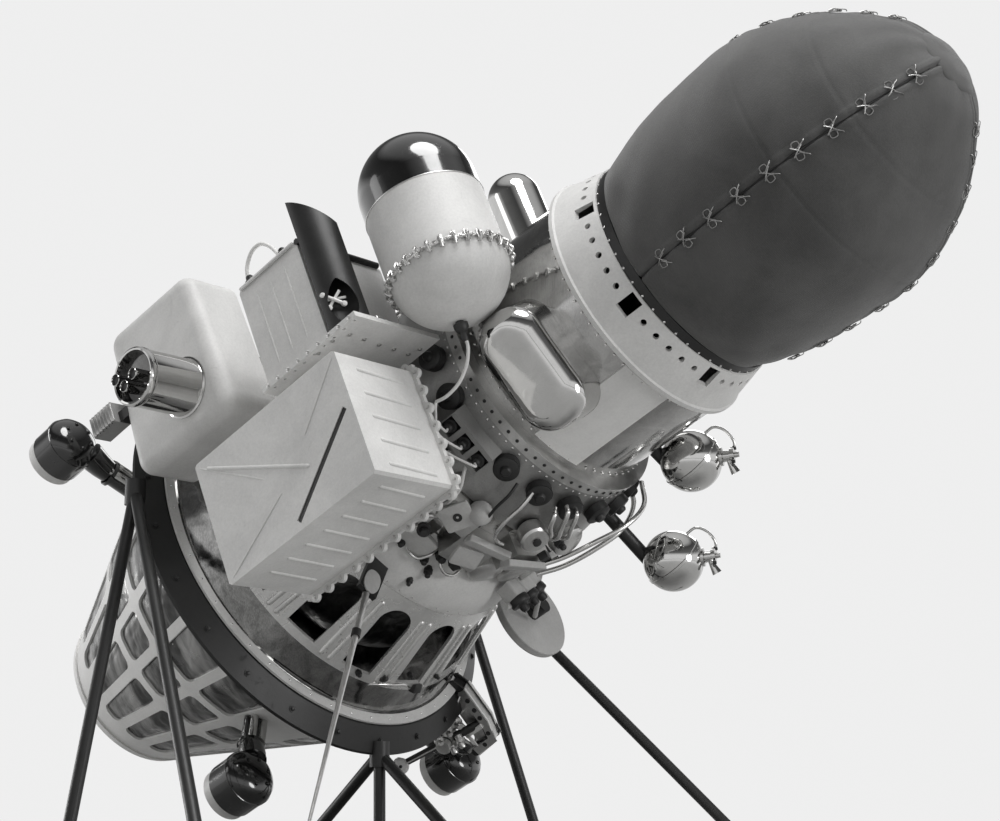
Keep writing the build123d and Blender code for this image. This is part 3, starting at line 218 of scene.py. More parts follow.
def piece(name, parts, material, crease=35.0, outward=True):
    """One object from several shapes, its doubles merged and its faces turned outwards, on the body."""
    points, faces = merged(*parts)
    mesh = bpy.data.meshes.new(name)
    mesh.from_pydata(out(points).tolist(), [], faces.tolist())
    work = bmesh.new()
    work.from_mesh(mesh)
    bmesh.ops.remove_doubles(work, verts=work.verts, dist=WELD)
    bmesh.ops.dissolve_degenerate(work, edges=work.edges, dist=SLIVER)
    if outward:
        bmesh.ops.recalc_face_normals(work, faces=work.faces)
    work.to_mesh(mesh)
    work.free()
    mesh.polygons.foreach_set("use_smooth", np.ones(len(mesh.polygons), bool))
    mesh.set_sharp_from_angle(angle=np.radians(crease))
    mesh.materials.append(material)
    thing = bpy.data.objects.new(name, mesh)
    bpy.context.scene.collection.objects.link(thing)
    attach(thing, ROOT)
    return thing


class Socket:
    """An output of a shader node. Sums, differences, products and powers of it add Math nodes."""

    def __init__(self, paint, source):
        self.paint, self.source = paint, source

    def math(self, operation, *values):
        """A Math node's result."""
        return self.paint.node("ShaderNodeMath", {"operation": operation}, dict(enumerate(values)))

    def __add__(self, other):
        return self.math("ADD", self, other)

    def __sub__(self, other):
        return self.math("SUBTRACT", self, other)

    def __rsub__(self, other):
        return self.math("SUBTRACT", other, self)

    def __mul__(self, other):
        return self.math("MULTIPLY", self, other)

    def __pow__(self, other):
        return self.math("POWER", self, other)

    def clamp(self):
        """The value, kept between 0 and 1."""
        return self.math("MINIMUM", self.math("MAXIMUM", self, 0.0), 1.0)

    def above(self, level, soft):
        """0 below level, 1 above it, with a smooth step soft wide between."""
        ends = {"Value": self, "From Min": level - soft / 2, "From Max": level + soft / 2}
        return self.paint.node("ShaderNodeMapRange", {"interpolation_type": "SMOOTHSTEP"}, ends)

    __radd__, __rmul__ = __add__, __mul__


class Nodes:
    """A node tree, cleared, and the one way that nodes are added to it."""

    def __init__(self, tree):
        self.tree = tree
        self.tree.nodes.clear()

    def feed(self, socket, value):
        """Links a socket, or sets it. A colour gets its fourth channel."""
        if isinstance(value, Socket):
            self.tree.links.new(value.source, socket)
        elif hasattr(socket.default_value, "__len__"):
            socket.default_value = (*value, 1.0)[: len(socket.default_value)]
        else:
            socket.default_value = value

    def node(self, kind, settings=None, sockets=None, pick=0):
        """A node of a kind, with its settings made first, then the values or links of its sockets."""
        made = self.tree.nodes.new(kind)
        for key, value in (settings or {}).items():
            if key == "stops":
                ramp = made.color_ramp.elements
                while len(ramp) < len(value):
                    ramp.new(0.5)
                for stop, (place, shade) in zip(ramp, value):
                    stop.position, stop.color = place, (shade, shade, shade, 1.0)
            else:
                setattr(made, key, value)
        for key, value in (sockets or {}).items():
            self.feed(made.inputs[key], value)
        return None if pick is None else Socket(self, made.outputs[pick])

    def place(self, stretch=(1, 1, 1), uv=False):
        """Object coordinates, or the piece's own cloth coordinates, stretched by a Mapping node."""
        source = self.node("ShaderNodeTexCoord", pick="UV" if uv else "Object")
        if tuple(stretch) == (1, 1, 1):
            return source
        return self.node("ShaderNodeMapping", {}, {"Vector": source, "Scale": stretch})

    def noise(self, scale, detail=3.0, rough=0.55, bend=0.0, where=None):
        """Fractal noise from 0 to 1, scale in cycles to the metre."""
        ends = {
            "Vector": where or self.place(),
            "Scale": scale,
            "Detail": detail,
            "Roughness": rough,
            "Distortion": bend,
        }
        return self.node("ShaderNodeTexNoise", {}, ends, "Fac")

    def cells(self, scale, feature):
        """Distance in a field of cells, scale cells to the metre."""
        ends = {"Vector": self.place(), "Scale": scale}
        return self.node("ShaderNodeTexVoronoi", {"feature": feature}, ends, "Distance")

    def ray(self, kind):
        """1 for the rays of a kind, and 0 for all others."""
        return self.node("ShaderNodeLightPath", pick=f"Is {kind} Ray")

    def tint(self, mask, dark, light):
        """A colour between two, by a mask."""
        ends = {0: mask, 6: dark, 7: light}
        return self.node("ShaderNodeMix", {"data_type": "RGBA"}, ends, 2)

    def bump(self, height, depth, strength=1.0, under=None):
        """A normal from a height, depth metres from its 0 to its 1."""
        ends = {"Height": height, "Distance": depth, "Strength": strength}
        if under is not None:
            ends["Normal"] = under
        return self.node("ShaderNodeBump", {}, ends)


class Paint(Nodes):
    """A material with one Principled shader, and the nodes that feed it."""

    def __init__(self, name):
        self.material = bpy.data.materials.new(name)
        self.material.use_nodes = True
        super().__init__(self.material.node_tree)
        self.shader = self.tree.nodes.new("ShaderNodeBsdfPrincipled")
        self.end = self.tree.nodes.new("ShaderNodeOutputMaterial")
        self.tree.links.new(self.shader.outputs[0], self.end.inputs["Surface"])

    def done(self, **sockets):
        """Feeds the shader's sockets, named in small letters, and gives the material."""
        for key, value in sockets.items():
            self.feed(self.shader.inputs[key.replace("_", " ").title()], value)
        return self.material


def canvas(name, dark, light):
    """Grey canvas: a plain weave in the cloth's coordinates, with streaks, water marks and a felted bloom."""
    p = Paint(name)
    cloth = p.place(uv=True)
    thread = {"Vector": cloth, "Scale": 150.0, "Distortion": 0.6}
    warp, weft = (p.node("ShaderNodeTexWave", {"bands_direction": way}, thread, "Fac") for way in "XY")
    weave = warp * weft
    blotch = p.noise(6.0, detail=5.0, rough=0.6, bend=0.4)
    streak = p.noise(9.0, detail=4.0, rough=0.6, where=p.place((1.0, 1.0, 0.16)))
    grain = p.noise(260.0, detail=2.0, rough=0.7)
    shade = (blotch * 0.55 + streak * 0.25 + grain * 0.2).above(0.5, soft=0.55)
    colour = p.tint(shade, dark, light)
    normal = p.bump(weave, depth=0.0004, strength=0.6, under=p.bump(grain, depth=0.0006, strength=0.7))
    return p.done(
        base_color=colour, roughness=0.86 + blotch * 0.1, sheen_weight=0.25, sheen_roughness=0.5, normal=normal
    )


def enamel(name, dark, light, rough=0.45, coat=0.0, dirt=0.12, pit=0.0002, metal=0.0):
    """Sprayed enamel: orange-peel bump, faint dust, and scuffs that dull the gloss."""
    p = Paint(name)
    cloud = p.noise(5.0, detail=6.0, rough=0.62, bend=0.6)
    fleck = p.noise(170.0, detail=3.0, rough=0.7)
    scuff = p.noise(26.0, detail=8.0, rough=0.75, bend=1.2).above(0.63, soft=0.1)
    tone = (cloud * 0.7 + fleck * 0.3).above(0.5, soft=0.5) - scuff * dirt
    peel = p.noise(240.0, detail=2.0, rough=0.5)
    normal = p.bump(peel, depth=pit, strength=0.5, under=p.bump(cloud, depth=0.004, strength=0.25))
    roughness = (cloud * 0.16 + scuff * 0.2 + (rough - 0.08)).clamp()
    return p.done(
        base_color=p.tint(tone.clamp(), dark, light),
        roughness=roughness,
        coat_weight=coat,
        coat_roughness=0.06,
        metallic=metal,
        normal=normal,
    )


def metal(name, dark, light, rough=0.2, wave=0.002, brush=0.0, stretch=(1, 1, 1), stain=0.1):
    """Bare metal: low ripples in the sheet, brush lines along a direction, and finger-marked patches."""
    p = Paint(name)
    lines = p.noise(420.0, detail=2.0, rough=0.6, where=p.place(stretch))
    ripple = p.noise(9.0, detail=2.0, rough=0.5, bend=0.5)
    mark = p.noise(18.0, detail=7.0, rough=0.7, bend=0.8)
    normal = p.bump(lines, depth=brush, strength=0.6, under=p.bump(ripple, depth=wave, strength=0.5))
    roughness = (mark.above(0.56, soft=0.3) * stain + lines * brush * 120 + rough).clamp()
    colour = p.tint((mark * 0.7 + lines * 0.3).above(0.5, soft=0.5), dark, light)
    return p.done(base_color=colour, metallic=1.0, roughness=roughness, normal=normal)


def crinkled(name, dark, light, scale=34.0, depth=0.006, rough=0.16):
    """Crumpled metal foil: sharp creases from the edges of cells, over broader folds."""
    p = Paint(name)
    bend = p.noise(11.0, detail=3.0, rough=0.6, bend=0.6)
    sharp = p.cells(scale, "DISTANCE_TO_EDGE")
    fine = p.cells(scale * 2.7, "F1")
    crease = (sharp * 2.2).clamp() ** 0.6
    normal = p.bump(
        crease,
        depth=depth * 0.35,
        strength=0.7,
        under=p.bump(fine, depth=depth * 0.4, strength=0.5, under=p.bump(bend, depth=depth, strength=0.9)),
    )
    roughness = (p.noise(60.0, detail=4.0, rough=0.7) * 0.16 + rough).clamp()
    return p.done(
        base_color=p.tint(bend.above(0.5, soft=0.5), dark, light),
        metallic=1.0,
        roughness=roughness,
        normal=normal,
    )


def reflection_streaked_foil(name, dark, light):
    """Foil with painted reflections: a dark sheet with long pale streaks slanting across it, which paint its
    reflections, over shallow buckles.
    """
    p = Paint(name)
    lean = p.noise(15.0, detail=4.0, rough=0.6, bend=0.3, where=p.place((1.0, 0.2, 0.3)))
    ripple = p.noise(12.0, detail=2.0, rough=0.5, bend=0.8)
    normal = p.bump(lean, depth=0.003, strength=0.5, under=p.bump(ripple, depth=0.006, strength=0.6))
    return p.done(
        # The pale streaks in the colour are painted reflections on the foil.
        base_color=p.tint(lean.above(0.53, soft=0.3), dark, light),
        metallic=1.0,
        roughness=(ripple * 0.2 + 0.14).clamp(),
        normal=normal,
    )


def grey(level):
    """A neutral colour at a level, a trace warmer in the lights."""
    return (level, level * 0.995, level * 0.98)


# Finish, its darkest and its lightest level, then how it is made and its settings
FINISHES = (
    ("canvas", 0.055, 0.125, canvas, {}),
    # Painted shade: the near-black strip laid in each seam's groove.
    ("seam_tape", 0.02, 0.05, enamel, {"rough": 0.8, "dirt": 0.05}),
    ("white", 0.6, 0.82, enamel, {"rough": 0.5, "dirt": 0.2, "pit": 0.0003}),
    ("fresh_white", 0.74, 0.9, enamel, {"rough": 0.42, "dirt": 0.08}),
    ("stone", 0.42, 0.6, enamel, {"rough": 0.5, "dirt": 0.15}),
    ("mid_grey", 0.24, 0.36, enamel, {"rough": 0.48, "dirt": 0.12}),
    ("black", 0.008, 0.02, enamel, {"rough": 0.42, "dirt": 0.01}),
    ("gloss", 0.004, 0.009, enamel, {"rough": 0.14, "coat": 1.0, "dirt": 0.002, "pit": 0.00005}),
    ("rubber", 0.01, 0.025, enamel, {"rough": 0.5, "dirt": 0.01}),
    ("mirror", 0.66, 0.84, metal, {"rough": 0.09, "wave": 0.003, "brush": 0.00003, "stretch": (1, 1, 0.05)}),
    ("chrome", 0.55, 0.64, metal, {"rough": 0.045, "wave": 0.0008, "stain": 0.05}),
    ("steel", 0.62, 0.8, metal, {"rough": 0.2, "wave": 0.0006, "brush": 0.0001}),
    ("alloy", 0.5, 0.7, metal, {"rough": 0.3, "wave": 0.001, "brush": 0.00012}),
    ("dull_alloy", 0.26, 0.42, metal, {"rough": 0.42, "wave": 0.0015, "brush": 0.0001}),
    ("fine_foil", 0.55, 0.86, crinkled, {"scale": 60.0, "depth": 0.003, "rough": 0.2}),
    # Painted shade: the engine tank's foil is darkened for the shade inside the skirt.
    ("dark_foil", 0.06, 0.22, crinkled, {"scale": 12.0, "depth": 0.006, "rough": 0.26}),
    ("soft_foil", 0.14, 0.5, metal, {"rough": 0.08, "wave": 0.009, "brush": 0.00004, "stretch": (1, 1, 0.3)}),
    # Painted reflections: pale streaks on the panes' foil.
    ("pane", 0.05, 0.36, reflection_streaked_foil, {}),
    ("lens", 0.035, 0.09, metal, {"rough": 0.07, "wave": 0.0006, "stain": 0.05}),
    # Painted shade: a darkened copy of the mirror finish, which stands in for the dark reflections on the
    # instrument bay.
    (
        "bay_sheet",
        0.34,
        0.56,
        metal,
        {"rough": 0.09, "wave": 0.0035, "brush": 0.00004, "stretch": (1, 1, 0.05)},
    ),
    ("frame_metal", 0.64, 0.84, enamel, {"rough": 0.27, "metal": 0.6, "dirt": 0.15}),
)
# What the names of their materials start with
PREFIX = "finish_"


def make_paints(colours):
    """Makes every finish on the craft and its stand, between its dark and its light colour."""
    for key, _, _, kind, settings in FINISHES:
        dark, light = (tuple(getattr(colours, f"{key}_{end}")) for end in ("dark", "light"))
        kind(PREFIX + key, dark, light, **settings)


def finishes():
    """The finishes by their names. The first operator makes them."""
    found = {one.name[len(PREFIX) :]: one for one in bpy.data.materials if one.name.startswith(PREFIX)}
    if not found:
        raise RuntimeError("The finishes operator comes first")
    return found


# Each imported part's finish
FINISH = {
    "capsule_band": "black", "payload_ring": "white", "instrument_bay": "bay_sheet", "bay_patch": "fresh_white",
    "bay_flange": "alloy", "side_pod": "chrome", "port_ring": "dull_alloy", "port_sockets": "rubber",
    "socket_box": "mid_grey", "control_bay": "mirror", "waist_equipment": "alloy", "flared_skirt": "white",
    "engine_frame": "frame_metal", "engine_tank": "dark_foil", "foil_base": "soft_foil",
    "engine_deck": "soft_foil", "deck_flange": "white", "skirt_lattice": "fresh_white",
    "skirt_liner": "fine_foil", "engine_nozzle": "dull_alloy", "vernier_pots": "gloss",
    "vernier_rims": "fresh_white", "vernier_arms": "gloss", "ribbed_housing": "white", "ribbed_flange": "white",
    "flat_housing": "white", "shelf_plate": "white", "rounded_housing": "white",
    "compartment_brackets": "black", "sensor_barrel": "chrome", "louvre_box": "mid_grey",
    "trough_antenna": "black", "canister_body": "white", "canister_dome": "gloss", "canister_clips": "chrome",
    "second_canister": "chrome", "gas_spheres": "chrome", "far_housing": "white", "dish_antenna": "stone",
    "stand_hoop": "black", "stand_near_legs": "black", "stand_far_legs": "black", "stand_centre_legs": "black",
    "prop_rod": "alloy",
}


def finish_nodes(paints):
    """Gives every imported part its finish."""
    for name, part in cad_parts.items():
        part.data.materials.clear()
        part.data.materials.append(paints[FINISH.get(name, "stone")])


# Reach and height of the cover's profile, from its hem to its point
EGG = np.array((
    (0.2700, 1.2260), (0.2830, 1.2590), (0.2960, 1.3100), (0.3060, 1.3620), (0.3145, 1.4650), (0.3180, 1.5470),
    (0.3165, 1.5990), (0.3060, 1.6510), (0.2860, 1.7020), (0.2570, 1.7600), (0.2270, 1.8050), (0.1890, 1.8470),
    (0.1340, 1.8980), (0.0850, 1.9240), (0.0400, 1.9380), (0.0, 1.9410),
))
# Turn of the first seam, and heights of the lacing along each
SEAM_TURN = -67.0
SEAM_HOOKS = (1.301, 1.371, 1.443, 1.519, 1.595, 1.666, 1.736, 1.802, 1.851, 1.893)
GORES, GORE_COLUMNS, CREASES = 4, 64, 22


def egg_at(height):
    """Reach of the cover's flank at a height, and the slope of its normal above the radial, in degrees."""
    line = egg_line()
    order = np.argsort(line[:, 1])
    reach = np.interp(height, line[order, 1], line[order, 0])
    ahead = np.interp(np.asarray(height) + 0.004, line[order, 1], line[order, 0])
    return reach, np.degrees(np.arctan2(reach - ahead, 0.004))


def egg_line(fine=12):
    """The cover's profile, smoothed through its stations."""
    flat = np.column_stack((EGG, np.zeros(len(EGG))))
    return smooth(flat, fine=fine)[:, :2]


def hump(value, middle, width):
    """1 where a value is at the middle, falling off as a bell curve of a width."""
    return np.exp(-(((value - middle) / width) ** 2))


def build_cover(paints, sizes):
    """Cover of four gores: a turned egg, pinched at its laced seams, with soft creases and a nose cap."""
    line = egg_line(11)
    half = np.linspace(-1, 1, GORE_COLUMNS + 1)[:-1]
    # The columns stand closest at the seams, where the cover is pinched
    near = np.sign(half) * abs(half) ** 2.2 * 180 / GORES
    turn = (SEAM_TURN + (360 / GORES * np.arange(GORES)[:, None] + near)).ravel()
    off = np.tile(np.radians(near), GORES)
    reach, height = line[:, None, 0], line[:, None, 1]
    away = abs(off) * reach
    angle = np.radians(turn)
    crease = 0 * away
    for _ in range(CREASES):
        around, up = RNG.integers(1, 15), RNG.uniform(4, 46)
        crease = crease + np.sin(around * angle + up * height + RNG.uniform(0, TAU)) / (6 + around + up * 0.5)
    pull = np.exp(-away / 0.035) * np.cos(TAU * (height - SEAM_HOOKS[0]) / 0.0725)
    hem = 0.0016 / (1 + np.exp((away - 0.017) / 0.0008))
    groove = sizes.seam_groove * np.exp(-((away / 0.0034) ** 2))
    sag = 0.004 * hump(height, 1.262, 0.03) * np.sin(9 * angle + 1.3)
    tuck = 0.0022 * hump(height, 1.612, 0.003) + 0.002 * hump(height, 1.775, 0.0025)
    lift = crease * sizes.crease_depth + hem - groove - pull * 0.0022 + sag - tuck
    fade = np.clip(reach / 0.06, 0, 1)
    slope = unit(np.gradient(line, axis=0))
    moved_r = reach + lift * fade * slope[:, None, 1]
    moved_z = height - lift * fade * slope[:, None, 0]
    grid = np.stack((moved_r * np.cos(angle), moved_r * np.sin(angle), moved_z), -1)
    inner = np.stack((0.262 * np.cos(angle), 0.262 * np.sin(angle), 1.2262 + 0 * angle), -1)
    curl = grid[0] * (1, 1, 0) * 0.985 + np.array((0, 0, 1.2255))
    grid = np.concatenate((inner[None], curl[None], grid))
    cover = piece("canvas_cover", [net(grid, wrap_v=True)], paints["canvas"], crease=60)
    cloth_layer(cover, 0.3)
    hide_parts("capsule_cover")
    build_lacing(paints, sizes)
    build_nose(paints)


def cloth_layer(thing, reach):
    """Cloth coordinates: metres round the craft's axis at a mean reach, and metres along the flank."""
    mesh = thing.data
    spots = np.empty(len(mesh.vertices) * 3)
    mesh.vertices.foreach_get("co", spots)
    local = (spots.reshape(-1, 3) - HUB) @ CRAFT.T
    corner = np.empty(len(mesh.loops), int)
    mesh.loops.foreach_get("vertex_index", corner)
    turn = np.arctan2(local[:, 1], local[:, 0])[corner].reshape(-1)
    starts = np.empty(len(mesh.polygons), int)
    totals = np.empty(len(mesh.polygons), int)
    mesh.polygons.foreach_get("loop_start", starts)
    mesh.polygons.foreach_get("loop_total", totals)
    first = np.repeat(turn[starts], totals)
    turn = first + (turn - first + np.pi) % TAU - np.pi
    along = local[corner, 2] * 0.6 + (0.32 - np.hypot(local[corner, 0], local[corner, 1])) * 0.8
    layer = mesh.uv_layers.new(name="cloth")
    layer.data.foreach_set("uv", np.column_stack((turn * reach, along)).ravel())


# Bends of one eye, lace and tail, on the right of the seam
LACE_EYE = np.array(
    ((0.007, -0.008, 0.002), (0.020, -0.008, 0.001), (0.020, 0.006, 0.001), (0.007, 0.006, 0.002))
)
LACE = np.array(
    ((0.009, 0.010, 0.002), (0.003, 0.003, 0.006), (-0.004, -0.005, 0.006), (-0.010, -0.012, 0.002))
)
LACE_TAIL = np.array(((0.005, 0.001, 0.005), (0.014, 0.016, 0.005), (0.017, 0.019, 0.001)))


def build_lacing(paints, sizes):
    """Wire eyes on both sides of each seam, the lacing crossed between them, and a dark strip in each groove
    that paints its shade.
    """
    wire = sizes.lace_wire
    parts = []
    for side in (-1, 1):
        mirror = side, 1, 1
        parts.append(sweep(LACE_EYE * (side * 0.9, 0.9, 1), wire, sides=6, fine=3, closed=True))
        parts.append(sweep(LACE * mirror, wire * 1.2, sides=6, fine=4))
        parts.append(sweep(LACE_TAIL * mirror, wire, sides=5, fine=3))
    seats = []
    seams = SEAM_TURN + 360 / GORES * np.arange(GORES)
    for turn in seams:
        for height in SEAM_HOOKS:
            reach, slope = egg_at(height)
            seats.append(skin(turn, reach + 0.0005, height, slope=slope, spin=RNG.uniform(-14, 14)))
    piece("cover_lacing", [stamp(merged(*parts), seats)], paints["dull_alloy"])
    # A near-black strip lies in each seam's groove: painted shade along the seam.
    height = np.linspace(1.23, 1.915, 30)
    reach = egg_at(height)[0]
    cords = [sweep(polar(turn, reach - 0.0035, height), 0.0018, sides=6, fine=2) for turn in seams]
    piece("seam_cords", cords, paints["seam_tape"])


def build_nose(paints):
    """Padded cap sewn over the point of the cover: a shallow dome with a rolled rim."""
    crown = np.array(
        (
            (0.0, 1.9470), (0.02, 1.9460), (0.045, 1.9425), (0.066, 1.9350), (0.077, 1.9290), (0.081, 1.9235),
            (0.080, 1.9190), (0.070, 1.9180),
        )
    )
    line = smooth(np.column_stack((crown, np.zeros(len(crown)))), fine=5)[:, :2]
    points, faces = lathe(line, sides=72)
    angle = np.arctan2(points[:, 1], points[:, 0])
    points[:, 2] += 0.0012 * np.sin(5 * angle + 0.8) * np.hypot(points[:, 0], points[:, 1]) / 0.08
    cap = piece("nose_cap", [(points, faces)], paints["canvas"], crease=60)
    cloth_layer(cap, 0.08)


def rivet(radius=0.003, rise=0.0016, sides=8):
    """A domed head: the radius falls to nothing as the height rises."""
    dome = ((radius, -0.001), (radius, rise * 0.3), (radius * 0.7, rise * 0.8), (0.0, rise))
    return lathe(dome, sides=sides)


def bolt(radius=0.005, rise=0.004):
    """A six-sided head on a round washer."""
    washer = lathe(((radius * 1.5, -0.001), (radius * 1.5, 0.001), (0.0, 0.001)), sides=12)
    head = lathe(((radius, 0.0), (radius, rise), (radius * 0.8, rise * 1.15), (0.0, rise * 1.15)), sides=6)
    return merged(washer, head)


def cone_reach(height, low, high):
    """Reach of a cone at a height, from its reach and height at two ends."""
    return low[0] + (np.asarray(height) - low[1]) * (high[0] - low[0]) / (high[1] - low[1])


# Reach and height at the two ends of the skirt's cone and of the port ring's
SKIRT_LOW, SKIRT_HIGH = (0.208, -0.758), (0.500, -0.052)
PORT_LOW, PORT_HIGH = (0.340, 0.610), (0.318, 0.772)
# Y and z of the bolts round the shelf plate, in the craft's frame
SHELF_BOLTS = (
    (-0.614, 0.654), (-0.615, 0.701), (-0.593, 0.732), (-0.548, 0.73), (-0.499, 0.726), (-0.452, 0.724),
    (-0.404, 0.721), (-0.391, 0.745),
)
# Upper and lower edge of each row of windows, and how many stand in a row
PANE_ROWS = ((-0.080, -0.266), (-0.294, -0.416), (-0.444, -0.673))
PANE_COUNT = 20
# The window that is open: its row and its place in the row
OPEN_PANE = 0, 18
# Rows of rivets round the craft's rings: count, reach, height, slope and the first one's turn
DARK_ROW = 72, 0.3203, 0.786, 0.0, 0.0
BRIGHT_ROWS = (
    (96, 0.3187, 0.764, 7.5, 1.2), (60, 0.3605, 0.309, 0.0, 2.0), (48, 0.2707, 1.2065, 0.0, 0.0),
    (64, 0.2897, 0.815, 0.0, 1.0), (64, 0.2897, 1.080, 0.0, 3.0), (40, 0.302, 0.552, 0.0, 3.0),
)
DECK_RIVETS = 48


def build_panes(paints, sizes):
    """Foil panes in the skirt's windows: rounded sheets that belly outward, buckled along slanting folds."""
    plan = rounded(40, 0.3)[None]
    rings = np.array((1.0, 0.985, 0.95, 0.88, 0.76, 0.62, 0.46, 0.3, 0.15, 0.0))[:, None]
    parts = []
    for row, (top, low) in enumerate(PANE_ROWS):
        for index in range(PANE_COUNT):
            if (row, index) == OPEN_PANE:
                continue
            turn = 6 + (index + 0.5) * 360 / PANE_COUNT
            height = (top + low) / 2 + (top - low) / 2 * plan[..., 1] * rings * 0.985
            reach = cone_reach(height, SKIRT_LOW, SKIRT_HIGH)
            half = reach * np.tan(np.radians(180 / PANE_COUNT)) - 0.0145
            side = half * plan[..., 0] * rings
            fold = np.zeros_like(side)
            for _ in range(5):
                tilt, wide, phase = RNG.uniform(-1.2, 1.2), RNG.uniform(35, 130), RNG.uniform(0, TAU)
                across = side * np.cos(tilt) + height * np.sin(tilt)
                fold = fold + abs(np.sin(across * wide + phase)) * sizes.pane_buckle
            dish = 0.0035 * (1 - rings**2) + (fold - 0.003) * np.clip((1 - rings) * 9, 0, 1)
            deep = reach - 0.0072 + dish
            swing = turn + np.degrees(side / reach)
            grid = polar(swing, deep, height)
            lid = grid[:1] - polar(swing[:1], 0.0012, 0.0)
            parts.append(net(np.concatenate((lid, grid)), wrap_v=True))
    piece("skirt_panes", parts, paints["pane"], crease=30, outward=False)


def rivet_row(count, reach, height, slope, start):
    """Seats of a row of rivets, evenly round a ring."""
    return [skin(start + 360 * k / count, reach, height, slope=slope) for k in range(count)]


def build_rivets(paints, sizes):
    """Rows of rivets and screws round the craft's rings, and bolts along its edges."""
    small = [place for row in BRIGHT_ROWS for place in rivet_row(*row)]
    for turn in 360 * np.arange(DECK_RIVETS) / DECK_RIVETS + 3:
        small.append((polar(turn, 0.478, 0.0031), facing(AXIS, polar(turn, 1, 0))))
    piece(
        "small_rivets", [stamp(rivet(radius=sizes.rivet_radius, rise=0.0016), small)],
        paints["steel"], crease=40,
    )
    piece(
        "dark_rivets", [stamp(rivet(radius=0.0042, rise=0.0022), rivet_row(*DARK_ROW))],
        paints["rubber"], crease=40,
    )
    plate = [seat((-0.0060, y, z), (1, 0, 0)) for y, z in SHELF_BOLTS]
    plate += [seat((-0.0120, -0.632, z), (0, -1, 0)) for z in np.linspace(0.512, 0.772, 9)]
    plate += [seat((x, -0.440, 0.7455), AXIS) for x in np.linspace(0.04, 0.355, 8)]
    piece(
        "panel_bolts", [stamp(bolt(radius=0.0036, rise=0.003), plate)], paints["alloy"], crease=40
    )


# Where the canister's line meets the socket box's cables
FORK = (0.1434, -0.4179, 0.7554)
# Radius and height of the profiles that recur
CUP = (
    (0.0, 0.044), (0.009, 0.043), (0.012, 0.036), (0.013, 0.026), (0.018, 0.023), (0.0265, 0.021),
    (0.0285, 0.018), (0.029, 0.006), (0.027, 0.0),
)
PLUG = (
    (0.0, 0.030), (0.006, 0.030), (0.0085, 0.027), (0.009, 0.016), (0.013, 0.015), (0.0135, 0.003),
    (0.011, 0.0), (0.010, -0.006),
)
FITTING = (
    (0.0, 0.020), (0.005, 0.020), (0.006, 0.017), (0.006, 0.011), (0.010, 0.010), (0.010, 0.004),
    (0.007, 0.003), (0.007, -0.004),
)


# Turn, reach, height, slope and size of the plugs over the control bay and on the deck
BAY_PLUGS = (
    (-41.3, 0.345, 0.474, 20, 1.25), (-26.4, 0.325, 0.434, 10, 1.05), (-29.5, 0.325, 0.399, 0, 0.8),
    (-25.1, 0.335, 0.385, -10, 0.8), (-28.2, 0.352, 0.345, -20, 0.6), (4.0, 0.352, 0.628, 20, 0.9),
    (-41.6, 0.335, 0.402, 0, 0.7), (-60, 0.34, 0.46, 10, 1.0), (-70, 0.33, 0.50, 0, 1.1),
    (40, 0.335, 0.47, 0, 1.1), (66, 0.35, 0.50, 0, 1.2), (92, 0.33, 0.46, 0, 1.0), (125, 0.35, 0.50, 0, 1.1),
    (150, 0.33, 0.47, 0, 1.0), (205, 0.35, 0.49, 0, 1.0), (228, 0.33, 0.50, 0, 1.2),
    (-8.9, 0.428, 0.0925, 60, 0.7), (15.2, 0.424, 0.108, 20, 0.5), (0.5, 0.421, 0.12, 20, 0.55),
    (-18.4, 0.431, 0.09, 20, 0.6),
)


def build_sockets(paints):
    """Mushroom-shaped plugs in the port ring's sockets, and smaller plugs over the control bay."""
    seats = []
    for index in range(-5, 6):
        turn = -6 + index * 17
        if abs(turn + 57) < 8:
            continue
        seats.append(skin(turn, cone_reach(0.728, PORT_LOW, PORT_HIGH) + 0.016, 0.728, slope=7.7))
    flat = [(r, h * 0.5 - 0.004) for r, h in CUP]
    piece("ring_plugs", [turned(flat, 24, seats)], paints["rubber"], crease=35)
    parts = []
    for turn, reach, height, slope, size in BAY_PLUGS:
        parts.append(stamp(sized(PLUG, size, sides=18), [skin(turn, reach, height, slope=slope)]))
    piece("bay_plugs", parts, paints["rubber"], crease=35)


def build_socket_box(paints, sizes):
    """Dark cells of the socket box, the plug in each, and the cables that fan out to them."""
    base, axes = skin(-57.0, 0.318, 0.712)
    cells = [base + axes[0] * 0.047 * k + axes[2] * 0.0352 for k in (-1, 0, 1)]
    spots = [(spot, axes) for spot in cells]
    mouth = slab(0.0165, 0.0195, -0.001, 0.0008, edge=0.0003, power=12)
    dark = [stamp(mouth, spots), stamp(sized(PLUG, 1.15, sides=18), spots)]
    piece("socket_box_plugs", dark, paints["rubber"], crease=35)
    fork = np.array(FORK)
    cords = []
    for k, sag in ((0, 0.010), (1, 0.026), (2, 0.042)):
        end = cells[k] + axes[2] * 0.033
        middle = (fork + end) / 2 + axes[2] * 0.016 - axes[1] * sag
        near = fork * 0.75 + middle * 0.25 + axes[2] * 0.006
        cable = fork, near, middle, end + axes[2] * 0.014, end
        cords.append(sweep(cable, sizes.cable_radius, sides=8, fine=6))
    piece("socket_cables", cords, paints["fresh_white"], crease=50)


